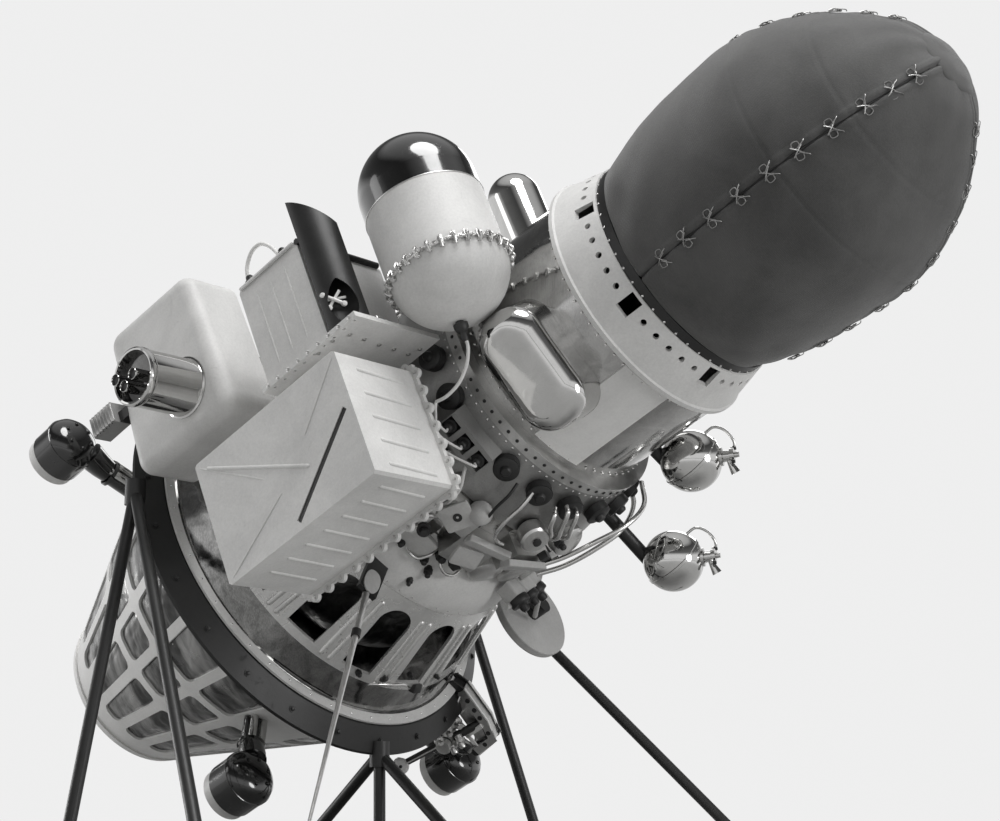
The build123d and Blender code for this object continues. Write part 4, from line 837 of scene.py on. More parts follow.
# Turn, reach and height of each plate on the waist, half its width, half its height, its slope and its spin
WAIST_PLATES = (
    (-21.5, 0.357, 0.487, 0.034, 0.026, 10, -14), (-19.5, 0.362, 0.540, 0.056, 0.016, -24, -8),
    (1.5, 0.363, 0.527, 0.060, 0.017, -22, -6), (-38, 0.338, 0.430, 0.040, 0.030, 0, 8),
    (-52, 0.330, 0.455, 0.045, 0.05, 0, 0), (22, 0.345, 0.515, 0.05, 0.03, -10, 0),
    (48, 0.340, 0.51, 0.05, 0.035, 0, 6), (80, 0.340, 0.48, 0.05, 0.04, 0, 0),
    (112, 0.362, 0.50, 0.06, 0.04, 0, 0), (140, 0.340, 0.51, 0.045, 0.03, 0, 0),
    (168, 0.358, 0.50, 0.06, 0.04, 0, 0), (194, 0.358, 0.49, 0.05, 0.03, 0, 0),
    (215, 0.335, 0.50, 0.05, 0.04, 0, 0), (245, 0.345, 0.50, 0.06, 0.04, 0, 0),
)
# A drum's profile; then turn, reach, height and slope of each drum, its size and its sides
DRUM = ((0.0, 0.014), (0.012, 0.014), (0.030, 0.011), (0.035, 0.006), (0.035, -0.02), (0.030, -0.03))
WAIST_DRUMS = (
    (-12.0, 0.372, 0.640, 16, 1.0, 32), (9.5, 0.352, 0.632, 20, 1.15, 32), (14, 0.330, 0.452, -6, 1.3, 32),
    (-4, 0.328, 0.446, -6, 1.2, 32), (58, 0.345, 0.60, 10, 1.2, 24), (100, 0.345, 0.60, 10, 1.2, 24),
    (133, 0.345, 0.60, 10, 1.2, 24), (182, 0.345, 0.60, 10, 1.2, 24), (232, 0.345, 0.60, 10, 1.2, 24),
    (-78, 0.345, 0.60, 10, 1.2, 24),
)
# Half width, bottom, top and roundness of each dark box, then its turn, reach, height, slope and spin
WAIST_BOXES = (
    (0.017, -0.012, 0.006, 8, (8.9, 0.356, 0.560, 0, 20)),
    (0.013, -0.012, 0.006, 8, (-20.8, 0.348, 0.443, 0, 20)),
    (0.014, -0.03, 0.004, 10, (8.0, 0.440, 0.082, 40, 0)),
)


def build_waist(paints):
    """Plates, drums and a bulb crowded round the control bay."""
    pale, shiny, dark = [], [], []
    plate = slab(0.031, 0.036, -0.004, 0.004, edge=0.001, power=12, sides=24)
    spot, axes = skin(-38.6, 0.352, 0.572, slope=8, spin=20)
    top = spot + axes[2] * 0.022
    pale.append(stamp(plate, [(top, axes)]))
    # A black disc on the plate stands in for its round hole: painted shade.
    dark.append(turned(((0.0105, 0.0), (0.0105, 0.0052), (0.008, 0.0056), (0.0, 0.003)), 20, [(top, axes)]))
    pale.append(stamp(slab(0.021, 0.024, -0.03, 0.02, edge=0.002, power=8), [(spot, axes)]))
    ball = [(0.028 * np.cos(a), 0.028 * np.sin(a)) for a in np.linspace(-1.2, np.pi / 2, 12)]
    ball[-1] = (0.0, 0.028)
    pale.append(turned(ball, 28, [skin(-33.4, 0.358, 0.610, slope=10)]))
    for turn, reach, height, wide, tall, slope, spin in WAIST_PLATES:
        plate = slab(wide, tall, -0.012, 0.003, edge=0.0015, power=14)
        pale.append(stamp(plate, [skin(turn, reach, height, slope=slope, spin=spin)]))
    for turn, reach, height, slope, size, sides in WAIST_DRUMS:
        shiny.append(turned([(r * size, h) for r, h in DRUM], sides, [skin(turn, reach, height, slope=slope)]))
    hub = ((0.010, -0.004), (0.010, 0.004), (0.006, 0.006), (0.0, 0.006))
    dark.append(turned(hub, 18, [skin(-12.0, 0.386, 0.644, slope=16)]))
    for wide, low, high, power, spot in WAIST_BOXES:
        dark.append(stamp(slab(wide, 0.011, low, high, edge=0.002, power=power), [skin(*spot)]))
    piece("waist_plates", pale, paints["stone"], crease=35)
    piece("waist_drums", shiny, paints["alloy"], crease=35)
    piece("waist_dark_boxes", dark, paints["rubber"], crease=35)


# Radius of each pipe of a finish, then turn, reach and height of its bends
STEEL_PIPES = (
    (0.0050, (-56, 0.40, 0.395), (-48.5, 0.352, 0.430), (-48.1, 0.352, 0.460), (-46, 0.355, 0.500),
        (-43, 0.352, 0.520), (-40, 0.335, 0.520)),
    (0.0050, (-54, 0.40, 0.385), (-46.5, 0.352, 0.412), (-46, 0.352, 0.446), (-44.0, 0.356, 0.470),
        (-41.6, 0.356, 0.475)),
    (0.0048, (-25.9, 0.345, 0.727), (-26.4, 0.366, 0.695), (-27.0, 0.380, 0.650), (-25.0, 0.378, 0.602),
        (-20.0, 0.360, 0.574), (-15.6, 0.352, 0.566)),
    (0.0055, (-13.5, 0.345, 0.722), (-14.2, 0.368, 0.716), (-12.0, 0.374, 0.690), (-8.4, 0.376, 0.668),
        (-6, 0.350, 0.640)),
    (0.0055, (-10.5, 0.345, 0.740), (-10.8, 0.366, 0.738), (-8.0, 0.374, 0.700), (-5.6, 0.378, 0.668),
        (-4, 0.350, 0.630)),
    (0.0050, (-6.0, 0.345, 0.742), (-6.8, 0.366, 0.742), (-4.4, 0.376, 0.706), (-1.8, 0.378, 0.678),
        (0, 0.350, 0.640)),
    (0.0060, (8, 0.362, 0.53), (14, 0.372, 0.585), (19.2, 0.380, 0.663), (27, 0.386, 0.72),
        (38, 0.380, 0.75), (52, 0.360, 0.74)),
    (0.0060, (14, 0.368, 0.50), (21, 0.382, 0.55), (27.0, 0.390, 0.620), (35, 0.392, 0.68),
        (48, 0.380, 0.70), (60, 0.350, 0.69)),
    (0.0038, (-26, 0.322, 0.43), (-24.0, 0.345, 0.418), (-20.5, 0.348, 0.408), (-16.5, 0.344, 0.410),
        (-13, 0.325, 0.42)),
    (0.0038, (-40, 0.325, 0.40), (-36.5, 0.345, 0.398), (-33.0, 0.348, 0.402), (-30.5, 0.342, 0.425),
        (-28, 0.322, 0.44)),
    (0.0045, (-64, 0.35, 0.48), (-60, 0.370, 0.52), (-56, 0.372, 0.56), (-52, 0.362, 0.60),
        (-48, 0.345, 0.64)),
    (0.0045, (-70, 0.35, 0.45), (-66, 0.372, 0.50), (-63, 0.378, 0.56), (-60, 0.372, 0.61),
        (-58, 0.350, 0.655)),
    (0.0050, (62, 0.345, 0.71), (66, 0.372, 0.66), (74, 0.380, 0.60), (86, 0.372, 0.56),
        (98, 0.350, 0.53)),
    (0.0050, (96, 0.340, 0.71), (102, 0.366, 0.66), (112, 0.374, 0.61), (126, 0.368, 0.57),
        (138, 0.345, 0.53)),
    (0.0050, (190, 0.342, 0.70), (198, 0.366, 0.65), (212, 0.372, 0.60), (228, 0.366, 0.575),
        (244, 0.345, 0.55)),
    (0.0045, (236, 0.342, 0.70), (244, 0.366, 0.66), (256, 0.372, 0.62), (266, 0.366, 0.58),
        (276, 0.345, 0.54)),
    (0.0040, (-14, 0.430, 0.05), (-10, 0.436, 0.075), (-4, 0.436, 0.088), (2, 0.430, 0.085),
        (8, 0.432, 0.07)),
)
WHITE_PIPES = (
    (0.0042, (-52.5, 0.345, 0.70), (-50, 0.372, 0.672), (-46.5, 0.385, 0.640), (-45, 0.382, 0.60),
        (-44, 0.355, 0.565)),
    (0.0042, (-58, 0.350, 0.66), (-56.5, 0.378, 0.630), (-53.5, 0.386, 0.60), (-51, 0.372, 0.56),
        (-50, 0.345, 0.53)),
    (0.0045, (128, 0.342, 0.70), (136, 0.366, 0.65), (150, 0.372, 0.60), (166, 0.366, 0.575),
        (180, 0.345, 0.55)),
)
RUBBER_PIPES = (
    (0.0036, (-33, 0.345, 0.722), (-33.2, 0.368, 0.700), (-33.0, 0.376, 0.660), (-31.0, 0.370, 0.610),
        (-29, 0.352, 0.575)),
    (0.0018, (-41.5, 0.464, 0.006), (-35, 0.466, 0.008), (-27, 0.466, 0.008), (-19, 0.464, 0.006)),
)


def build_pipes(paints):
    """Formed pipes and clipped lines between the fittings: tubes along smooth bends."""
    for finish, slot, pipes in (
        ("steel", "bare_metal", STEEL_PIPES),
        ("white", "white_paint", WHITE_PIPES),
        ("rubber", "black_plastic", RUBBER_PIPES),
    ):
        parts = [sweep([polar(*bend) for bend in bends], radius, sides=10, fine=6) for radius, *bends in pipes]
        piece(f"{finish}_lines", parts, paints[finish], crease=50)


# The canister's axis, its radius, and where its clips stand along it
CAN_Y, CAN_Z, CAN_R = -0.431, 0.912, 0.133
CLIP_X = -0.079
# Bends of the line from its plug to the fork
CANISTER_LINE = (
    (0.082, -0.4215, 0.8840), (0.0990, -0.4149, 0.8714), (0.1151, -0.4080, 0.8511), (0.1347, -0.4068, 0.8195),
    (0.1452, -0.4123, 0.7832), FORK,
)


def round_can(turn, x, reach=CAN_R):
    """Seat on the canister: outward from its axis at a turn, its second axis along the canister."""
    radial = np.array((0, np.cos(np.radians(turn)), np.sin(np.radians(turn))))
    return np.array((x, CAN_Y, CAN_Z)) + radial * reach, facing(radial, (1, 0, 0))


def build_canister(paints, sizes):
    """Clip ring of the canister: a wavy band with lugs bolted across it. The plug and line at its foot."""
    angle = np.linspace(0, TAU, 192, endpoint=False)
    wavy = CLIP_X + 0.0024 * np.sin(15 * angle)
    loop = np.stack((wavy, CAN_Y + 0.1352 * np.cos(angle), CAN_Z + 0.1352 * np.sin(angle)), -1)
    band = sweep(loop, 0.0036, sides=8, fine=1, closed=True)
    arch = ((0, -0.014, 0.002), (0, -0.006, 0.0085), (0, 0, 0.0115), (0, 0.006, 0.0085), (0, 0.014, 0.002))
    saddle = sweep(arch, 0.0028, sides=8, fine=3)
    lug = merged(slab(0.0055, 0.013, -0.002, 0.0060, edge=0.001, power=8, sides=12), saddle)
    count = sizes.clip_count
    lugs = stamp(lug, [round_can(360 * k / count, CLIP_X) for k in range(count)])
    between = [round_can(360 * (k + 0.5) / count, CLIP_X, CAN_R + 0.004) for k in range(count)]
    heads = stamp(bolt(radius=0.0034, rise=0.004), between)
    ring = piece("canister_clip_ring", [band, lugs, heads], paints["alloy"], crease=40)
    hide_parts("canister_clips")
    points, faces = lathe(((0.1326, 0.0), (0.1342, 0.001), (0.1342, 0.003), (0.1326, 0.004)), sides=96)
    points = np.stack((points[:, 2] - 0.252, CAN_Y + points[:, 0], CAN_Z + points[:, 1]), -1)
    piece("canister_joint", [(points, faces)], paints["alloy"], crease=40)
    foot, axes = np.array((0.0400, -0.4385, 0.8965)), facing((0.9, 0.2, -0.2))
    plug = (
        (0.0, 0.040), (0.006, 0.040), (0.008, 0.034), (0.008, 0.022), (0.013, 0.018), (0.016, 0.010),
        (0.016, 0.002), (0.010, 0.0), (0.009, -0.012),
    )
    piece("canister_plug", [turned(plug, 20, [(foot, axes)])], paints["rubber"], crease=35)
    line = (foot + axes[2] * 0.030, *CANISTER_LINE)
    piece(
        "canister_line", [sweep(line, sizes.canister_line, sides=10, fine=6)],
        paints["fresh_white"], crease=50,
    )


# The ribbed housing's flange: its two ends across the craft and its two ends along it
RIB_X0, RIB_X1, RIB_Z0, RIB_Z1 = 0.052, 0.363, 0.282, 0.753


def raised(start, end, outward, width=0.0026, rise=0.0020, steps=16):
    """A pressed crease: half a round bar from start to end, thinning to nothing at both."""
    start, end, outward = (np.asarray(v, float) for v in (start, end, outward))
    side = np.cross(outward, unit(end - start))
    t = np.linspace(0, 1, steps)[:, None, None]
    turn = np.linspace(-np.pi / 2, np.pi / 2, 7)[None, :, None]
    swell = np.sqrt(np.clip(1 - (2 * t - 1) ** 8, 0, 1))
    spread = side * np.sin(turn) * width * (0.15 + 0.85 * swell)
    return net(start + (end - start) * t + spread + outward * (np.cos(turn) * rise * swell - 0.0004))


def build_housings(paints, sizes):
    """Creases, a black slab that paints the slot's shade, and flange screws of the ribbed housing, and trim on
    the flat and rounded ones.
    """
    near = (0, -1, 0)
    parts = [
        raised((0.070, -0.680, 0.738), (0.183, -0.680, 0.600), near),
        raised((0.252, -0.680, 0.505), (0.346, -0.680, 0.300), near),
        raised((0.070, -0.680, 0.297), (0.205, -0.680, 0.470), near, width=0.0022, rise=0.0016),
    ]
    piece("housing_creases", parts, paints["white"], crease=60)
    # A black slab just under the slot's lips fills it: painted shade in the slot.
    slot, axes = np.array((0.2625, -0.6770, 0.622)), facing(near, (0.147, 0, -0.204))
    piece(
        "housing_slot", [stamp(slab(0.0063, 0.1238, -0.0040, 0.0012, edge=0.0003, power=14), [(slot, axes)])],
        paints["rubber"], crease=35,
    )
    heads = []
    for x in RIB_X0 + (np.arange(7) + 0.5) * (RIB_X1 - RIB_X0) / 7:
        heads += [(x, RIB_Z0 - 0.003), (x, RIB_Z1 + 0.003)]
    for z in RIB_Z0 + (np.arange(11) + 0.5) * (RIB_Z1 - RIB_Z0) / 11:
        heads += [(RIB_X0 - 0.003, z), (RIB_X1 + 0.003, z)]
    seats = [seat((x, -0.4522, z), near) for x, z in heads]
    piece(
        "flange_screws", [stamp(bolt(radius=sizes.screw_radius, rise=0.0025), seats)],
        paints["alloy"], crease=40,
    )
    lid = ((-0.268, -0.6235, 0.517), (-0.268, -0.6235, 0.686), (-0.268, -0.366, 0.692), (-0.268, -0.366, 0.511))
    trim = [sweep(lid, 0.0050, sides=8, fine=1, closed=True)]
    for z in (0.552, 0.597, 0.645):
        trim.append(raised((-0.245, -0.620, z), (-0.045, -0.620, z), near, width=0.003, rise=0.0018))
    piece("flat_housing_trim", trim, paints["white"], crease=50)
    edge = ((-0.266, -0.622, 0.700), (-0.268, -0.52, 0.7005), (-0.268, -0.372, 0.7005))
    piece(
        "flat_housing_seal", [sweep(edge, 0.0075, sides=8, fine=1)],
        paints["rubber"], crease=50,
    )
    loop = (
        (-0.262, -0.600, 0.530), (-0.292, -0.602, 0.527), (-0.322, -0.602, 0.535), (-0.345, -0.602, 0.560),
        (-0.345, -0.602, 0.590), (-0.322, -0.600, 0.612), (-0.292, -0.598, 0.625), (-0.266, -0.596, 0.636),
    )
    piece(
        "flat_housing_line", [sweep(loop, 0.0046, sides=10, fine=6)],
        paints["fresh_white"], crease=50,
    )
    spots = [seat(spot, (-1, 0, 0)) for spot in ((-0.270, -0.600, 0.530), (-0.270, -0.596, 0.636))]
    ends = [turned(PLUG, 16, spots)]
    piece("flat_housing_plugs", ends, paints["rubber"], crease=35)


# Y and z of the clips at the trough's foot, in the craft's frame
TROUGH_CLIPS = ((-0.612, 0.692), (-0.552, 0.778), (-0.552, 0.735), (-0.58, 0.695))


def build_trough(paints):
    """Crossed feed inside the trough's mouth, with its round tips, and the clips at its foot."""
    first = ((-0.106, -0.624, 0.722), (-0.090, -0.612, 0.736), (-0.072, -0.600, 0.750))
    second = ((-0.076, -0.616, 0.722), (-0.092, -0.608, 0.736), (-0.106, -0.601, 0.750))
    post = ((-0.094, -0.620, 0.722), (-0.094, -0.585, 0.748))
    arms = [
        sweep(first, 0.0040, sides=8, fine=4),
        sweep(second, 0.0034, sides=8, fine=4),
        sweep(post, 0.0030, sides=8, fine=1),
    ]
    knob = lathe(((0.0, 0.008), (0.005, 0.006), (0.0065, 0.0), (0.005, -0.006), (0.0, -0.008)), sides=14)
    for spot in ((-0.106, -0.624, 0.722), (-0.072, -0.600, 0.750), (-0.076, -0.616, 0.722)):
        arms.append(stamp(knob, [seat(spot, (0.4, -0.3, 0.6))]))
    piece("trough_feed", arms, paints["fresh_white"], crease=40)
    clip = slab(0.008, 0.011, 0.0, 0.007, edge=0.001, power=8, sides=16)
    spots = [seat((-0.0182, y, z), (-1, 0, 0)) for y, z in TROUGH_CLIPS]
    piece("trough_clips", [stamp(clip, spots)], paints["alloy"], crease=40)


# Middle of the sensor barrel's back, in the craft's frame
BARREL = np.array((-0.184, -0.6003, 0.254))


def build_barrel(paints):
    """Bright sensor barrel: a drawn cup with a rolled rim, a recessed face and three dark-mouthed tubes."""
    axes = facing((0, -1, 0))
    body = (
        (0.0705, 0.0), (0.0705, 0.003), (0.0665, 0.0045), (0.0652, 0.007), (0.0652, 0.130), (0.0672, 0.133),
        (0.0678, 0.140), (0.0664, 0.146), (0.0625, 0.149), (0.0588, 0.148), (0.0575, 0.143), (0.0570, 0.128),
    )
    tube = (
        (0.0, 0.018), (0.0114, 0.019), (0.0118, 0.0405), (0.0125, 0.0418), (0.0134, 0.0405), (0.0134, 0.0),
        (0.010, 0.0),
    )
    hole = ((0.0, 0.0), (0.0113, 0.0), (0.0113, 0.016), (0.0, 0.016))
    across = [BARREL + np.array((u, -0.128, v)) for u, v in ((-0.007, -0.033), (0.022, -0.013), (0.011, 0.021))]
    parts = [turned(body, 64, [(BARREL, axes)]), turned(tube, 28, [(spot, axes) for spot in across])]
    barrel = piece("barrel_bright", parts, paints["chrome"], crease=30)
    face = lathe(((0.0590, 0.120), (0.0590, 0.131), (0.050, 0.132), (0.0, 0.132)), sides=48)
    piece("barrel_face", [stamp(face, [(BARREL, axes)])], paints["lens"], crease=30)
    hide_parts("sensor_barrel")
    mouths = [(spot + axes[2] * 0.020, axes) for spot in across]
    piece("barrel_mouths", [turned(hole, 20, mouths)], paints["rubber"], crease=35)
    blades = []
    for k in range(7):
        z = -0.0424 + 0.01114 * k
        near = seat((-0.262, -0.6125, z), (0, -1, 0.7), (0, 0.7, 1))
        low = seat((-0.2885, -0.589, z), (-1, 0, 0.7), (0.7, 0, 1))
        for half, spot in ((0.024, near), (0.021, low)):
            blades.append(stamp(slab(half, 0.0046, -0.003, 0.0030, edge=0.001, power=10, sides=16), [spot]))
    piece("louvre_blades", blades, paints["alloy"], crease=35)


# Reach and turn of each steering chamber
POTS = ((0.640, -120.0), (0.620, -28.0), (0.670, 45.0), (0.650, 145.0))


def build_pots(paints, sizes):
    """Steering chambers: seam and bolts of each black cap, its nozzle, elbow and pair of feed tubes."""
    tubes, elbows, throats, trims = [], [], [], []
    for reach, turn in POTS:
        radial = polar(turn, 1.0, 0.0)
        side = np.array((-radial[1], radial[0], 0))
        centre = polar(turn, reach, -0.186)
        skirt = cone_reach(-0.2, SKIRT_LOW, SKIRT_HIGH)
        for shift in (-0.0135, 0.0135):
            start = radial * (skirt - 0.010) + side * shift - AXIS * 0.1790
            end = radial * (skirt + 0.090) + side * shift - AXIS * 0.1780
            middle = (start + end) / 2 + AXIS * 0.002
            tubes.append(sweep((start, middle, end), sizes.feed_tube, sides=14, fine=4))
        bends = (skirt + 0.076, 0.196), (reach - 0.088, 0.192), (reach - 0.050, 0.184)
        elbow = [radial * far - AXIS * drop for far, drop in bends]
        elbows.append(sweep(elbow, (0.0262, 0.0310, 0.0350), sides=18, fine=5))
        collar = ((0.031, -0.004), (0.033, -0.003), (0.033, 0.005), (0.031, 0.006))
        elbows.append(turned(collar, 28, [seat(radial * (skirt + 0.078) - AXIS * 0.196, radial)]))
        down = seat(centre, -AXIS, radial)
        throat = (
            (0.0500, 0.064), (0.044, 0.050), (0.032, 0.026), (0.016, 0.006), (0.010, -0.002), (0.0, -0.002)
        )
        throats.append(turned(throat, 32, [down]))
        up = facing(AXIS, radial)
        seam = ((0.0655, -0.008), (0.0674, -0.007), (0.0674, 0.000), (0.0655, 0.001))
        trims.append(turned(seam, 56, [(centre, up)]))
        dome = (
            (0.0662, -0.001), (0.0650, 0.006), (0.0600, 0.0165), (0.0500, 0.0262), (0.0380, 0.0320),
            (0.0220, 0.0348), (0.0, 0.0356),
        )
        trims.append(turned(dome, 56, [(centre, up)]))
        heads = [radial * np.cos(a) + side * np.sin(a) for a in np.arange(6) * TAU / 6]
        spots = [(centre + 0.034 * way + AXIS * 0.0325, up) for way in heads]
        trims.append(stamp(bolt(radius=0.0036, rise=0.0035), spots))
    piece("chamber_tubes", tubes, paints["chrome"], crease=50)
    piece("chamber_elbows", elbows, paints["gloss"], crease=40)
    piece("chamber_throats", throats, paints["dull_alloy"], crease=50, outward=False)
    piece("chamber_trim", trims, paints["gloss"], crease=40)


# Middles of the gas bottles, in the craft's frame
SPHERES = ((0.262, 0.262, 0.895), (0.405, 0.350, 0.700))


def build_spheres(paints, sizes):
    """Girdle band, eared boss with its bell, and fill line of each gas bottle."""
    bell = (
        (0.0, 0.0), (0.0045, 0.0), (0.0055, 0.012), (0.0115, 0.044), (0.0105, 0.044), (0.004, 0.013),
        (0.0, 0.013),
    )
    over = np.array((0.32, 0.646, 0.693))
    rise = np.array((-0.829, -0.163, 0.535))
    drop = np.array((0.924, 0.384, -0.077))
    parts, dark = [], []
    for x, y, z in SPHERES:
        centre = np.array((x, y, z))
        outward = unit(np.array((x, y, 0)))
        girdle = ((0.0721, -0.004), (0.0740, -0.003), (0.0740, 0.003), (0.0721, 0.004))
        parts.append(turned(girdle, 56, [seat(centre, outward)]))
        boss = (
            (0.022, 0.068), (0.022, 0.074), (0.014, 0.076), (0.012, 0.090), (0.016, 0.091), (0.016, 0.101),
            (0.007, 0.102), (0.006, 0.112), (0.0, 0.112),
        )
        nose, axes = seat(centre, over * 0.95 + rise * 0.15 + np.array((0.12, -0.19, 0.12)))
        parts.append(turned(boss, 24, [(nose, axes)]))
        parts.append(stamp(slab(0.030, 0.0055, 0.091, 0.097, edge=0.001, power=6, sides=20), [(nose, axes)]))
        ears = [(nose + axes[0] * shift + axes[2] * 0.097, axes) for shift in (-0.026, 0.026)]
        dark.append(stamp(bolt(radius=0.004, rise=0.006), ears))
        parts.append(turned(bell, 24, [(nose + axes[2] * 0.082, facing(drop))]))
        loop = ((0.098, 0.020), (0.098, 0.045), (0.078, 0.070), (0.052, 0.078), (0.030, 0.063))
        parts.append(sweep([centre + over * a + rise * b for a, b in loop], sizes.fill_line, sides=10, fine=6))
    piece("bottle_fittings", parts, paints["chrome"], crease=40)
    piece("bottle_bolts", dark, paints["rubber"], crease=40)


def ribbon(path, across, wide, thick):
    """A flat bar along a path: a box section wide along across and thick square to it."""
    path = smooth(np.asarray(path, float), fine=1)
    tangent = unit(np.gradient(path, axis=0))
    side = unit(np.broadcast_to(across, path.shape))
    up = unit(np.cross(tangent, side))
    corner = np.array(((-1, -1), (1, -1), (1, 1), (-1, 1))) / 2
    grid = path[:, None] + side[:, None] * corner[:, :1] * wide + up[:, None] * corner[:, 1:] * thick
    ends = np.repeat(path[:1, None], 4, 1), np.repeat(path[-1:, None], 4, 1)
    return net(np.concatenate((ends[0], grid, ends[1])), wrap_v=True)


# The outrigger's turn, and that of the rod that hangs beside it
BRACKET_TURN, ROD_TURN = 41, 36
# Reach and height of the bracket's bars, flanges, holes painted as black discs, and top plate
BRACKET_FRAME = ((0.530, -0.086), (0.536, -0.056), (0.640, -0.066), (0.604, -0.088), (0.530, -0.090))
BRACKET_EDGE = ((0.500, 0.0245), (0.604, 0.0085), (0.6595, -0.018), (0.6655, -0.082))
BRACKET_HOLES = ((0.53, 0.0075), (0.56, 0.003), (0.585, -0.001), (0.63, -0.014), (0.650, -0.045))
BRACKET_TOP = ((0.500, 0.0185), (0.606, 0.0025), (0.6555, -0.0175), (0.6605, -0.082))
# Distance of each pair of side plates from the bracket's middle, then reach and height of their two ends
BRACKET_WEBS = (
    (0.0206, (0.500, 0.012), (0.610, -0.005)),
    (0.0210, (0.598, -0.001), (0.650, -0.018)),
    (0.0214, (0.650, -0.010), (0.653, -0.081)),
)
# Height, shift to the side and size of each fitting
BRACKET_FITTINGS = (
    (-0.055, -0.035, 1.6), (-0.075, -0.060, 1.3), (-0.070, -0.012, 1.5), (-0.085, 0.022, 1.2),
    (-0.095, -0.085, 1.2),
)
# Radius of each line, then turn, reach and height of its bends
BRACKET_LINES = (
    (0.0042, (45, 0.472, 0.010), (40, 0.520, -0.020), (36, 0.512, -0.100), (34, 0.508, -0.200),
        (33, 0.508, -0.270)),
    (0.0026, (40, 0.508, -0.100), (37, 0.520, -0.160), (35, 0.512, -0.210), (33, 0.510, -0.240)),
    (0.0045, (38, 0.560, -0.080), (42, 0.600, -0.075), (45, 0.640, -0.095), (45.5, 0.662, -0.125),
        (45, 0.668, -0.150)),
)


def bracket(reach, height):
    """Craft point on the middle plane of the outrigger's bracket."""
    return polar(BRACKET_TURN, reach, height)


def build_outrigger(paints):
    """Fittings on the bracket outboard of the engine flange: valves, plates, lines and the rod's cup."""
    white, dark, steel = [], [], []
    valve, cup = polar(ROD_TURN, 0.580, -0.098), polar(ROD_TURN, 0.566, -0.262)
    rod = cup - valve
    radial, side = bracket(1.0, 0.0), polar(BRACKET_TURN + 90, 1.0, 0.0)
    for shift in (-0.0235, 0.0235):
        lift = side * shift
        white.append(ribbon([bracket(*spot) + lift for spot in BRACKET_FRAME], side, wide=0.004, thick=0.010))
        post = bracket(0.604, -0.012) + lift, bracket(0.604, -0.070) + lift
        white.append(ribbon(post, side, wide=0.004, thick=0.012))
    edge = [bracket(*spot) for spot in BRACKET_EDGE]
    for shift in (-0.018, 0.018):
        white.append(ribbon([p + side * shift for p in edge], side, wide=0.006, thick=0.0035))
    # Black discs on the side plates stand in for the bracket's holes: painted shade seen through them.
    hole_shades = [
        seat(bracket(*spot) + side * s * 0.0222, side * s, radial) for spot in BRACKET_HOLES for s in (-1, 1)
    ]
    dark.append(turned(((0.0062, -0.001), (0.0062, 0.0008), (0.0, 0.0008)), 16, hole_shades))
    for height, shift, size in BRACKET_FITTINGS:
        spot = bracket(0.548, height) + side * shift
        steel.append(stamp(sized(FITTING, size), [seat(spot, radial * 0.5 - side * 0.6 + AXIS * 0.5)]))
        block = slab(0.011, 0.009, -0.016, 0.0, edge=0.002, power=8, sides=16)
        dark.append(stamp(block, [seat(spot - radial * 0.006, radial, side)]))
    for at, size in ((valve, 1.5), (valve + rod * 0.18 + side * 0.012, 1.2), (valve + AXIS * 0.03, 1.4)):
        steel.append(stamp(sized(FITTING, size), [seat(at + radial * 0.010, radial * 0.8 - side * 0.5)]))
    drum = ((0.0, 0.012), (0.010, 0.012), (0.018, 0.009), (0.0185, -0.009), (0.010, -0.012), (0.0, -0.012))
    tangent = polar(ROD_TURN + 90, 1.0, 0.0)
    for shift in (-0.030, -0.004, 0.022):
        steel.append(turned(drum, 24, [seat(valve + tangent * shift, tangent)]))
    dark.append(sweep((valve + rod * 0.10, cup - rod * 0.05), 0.0088, sides=14, fine=1))
    for shift in (-1, 1):
        apart = tangent * 0.0098 * shift
        white.append(sweep((valve + rod * 0.10 + apart, cup + apart), 0.0020, sides=6, fine=1))
    down = unit(rod)
    dish = (
        (0.0, 0.0095), (0.006, 0.0100), (0.017, 0.0092), (0.0215, 0.0060), (0.0215, -0.001), (0.016, -0.002)
    )
    white.append(turned(dish, 36, [seat(cup, down)]))
    dark.append(stamp(bolt(radius=0.0030, rise=0.002), [seat(cup + down * 0.0094, down)]))
    toward = unit(np.array((0.46, -0.74, 0.48)))
    face = ((0.0, 0.0040), (0.018, 0.0034), (0.0215, 0.0), (0.0215, -0.004), (0.0, -0.006))
    white.append(turned(face, 36, [seat(cup + toward * 0.017, toward)]))
    dark.append(stamp(bolt(radius=0.0028, rise=0.0016), [seat(cup + toward * 0.0212, toward)]))
    for lift, start, end in BRACKET_WEBS:
        ends = np.array((bracket(*start), bracket(*end)))
        across = np.cross(ends[1] - ends[0], side)
        for shift in (-lift, lift):
            steel.append(ribbon(ends + side * shift, across, wide=0.020, thick=0.0016))
    gusset = np.array((bracket(0.522, -0.026), bracket(0.646, -0.046)))
    steel.append(ribbon(gusset, np.cross(gusset[1] - gusset[0], side), wide=0.044, thick=0.003))
    steel.append(ribbon([bracket(*spot) for spot in BRACKET_TOP], side, wide=0.030, thick=0.003))
    for radius, *bends in BRACKET_LINES:
        steel.append(sweep([polar(*spot) for spot in bends], radius, sides=8, fine=5))
    tag = slab(0.012, 0.014, -0.003, 0.002, edge=0.001, power=5, sides=20)
    white.append(stamp(tag, [seat(polar(ROD_TURN, 0.560, -0.070), polar(25, 0.9, 0.4))]))
    piece("outrigger_white", white, paints["fresh_white"], crease=35)
    piece("outrigger_fittings", steel, paints["alloy"], crease=40)
    piece("outrigger_dark", dark, paints["rubber"], crease=40)


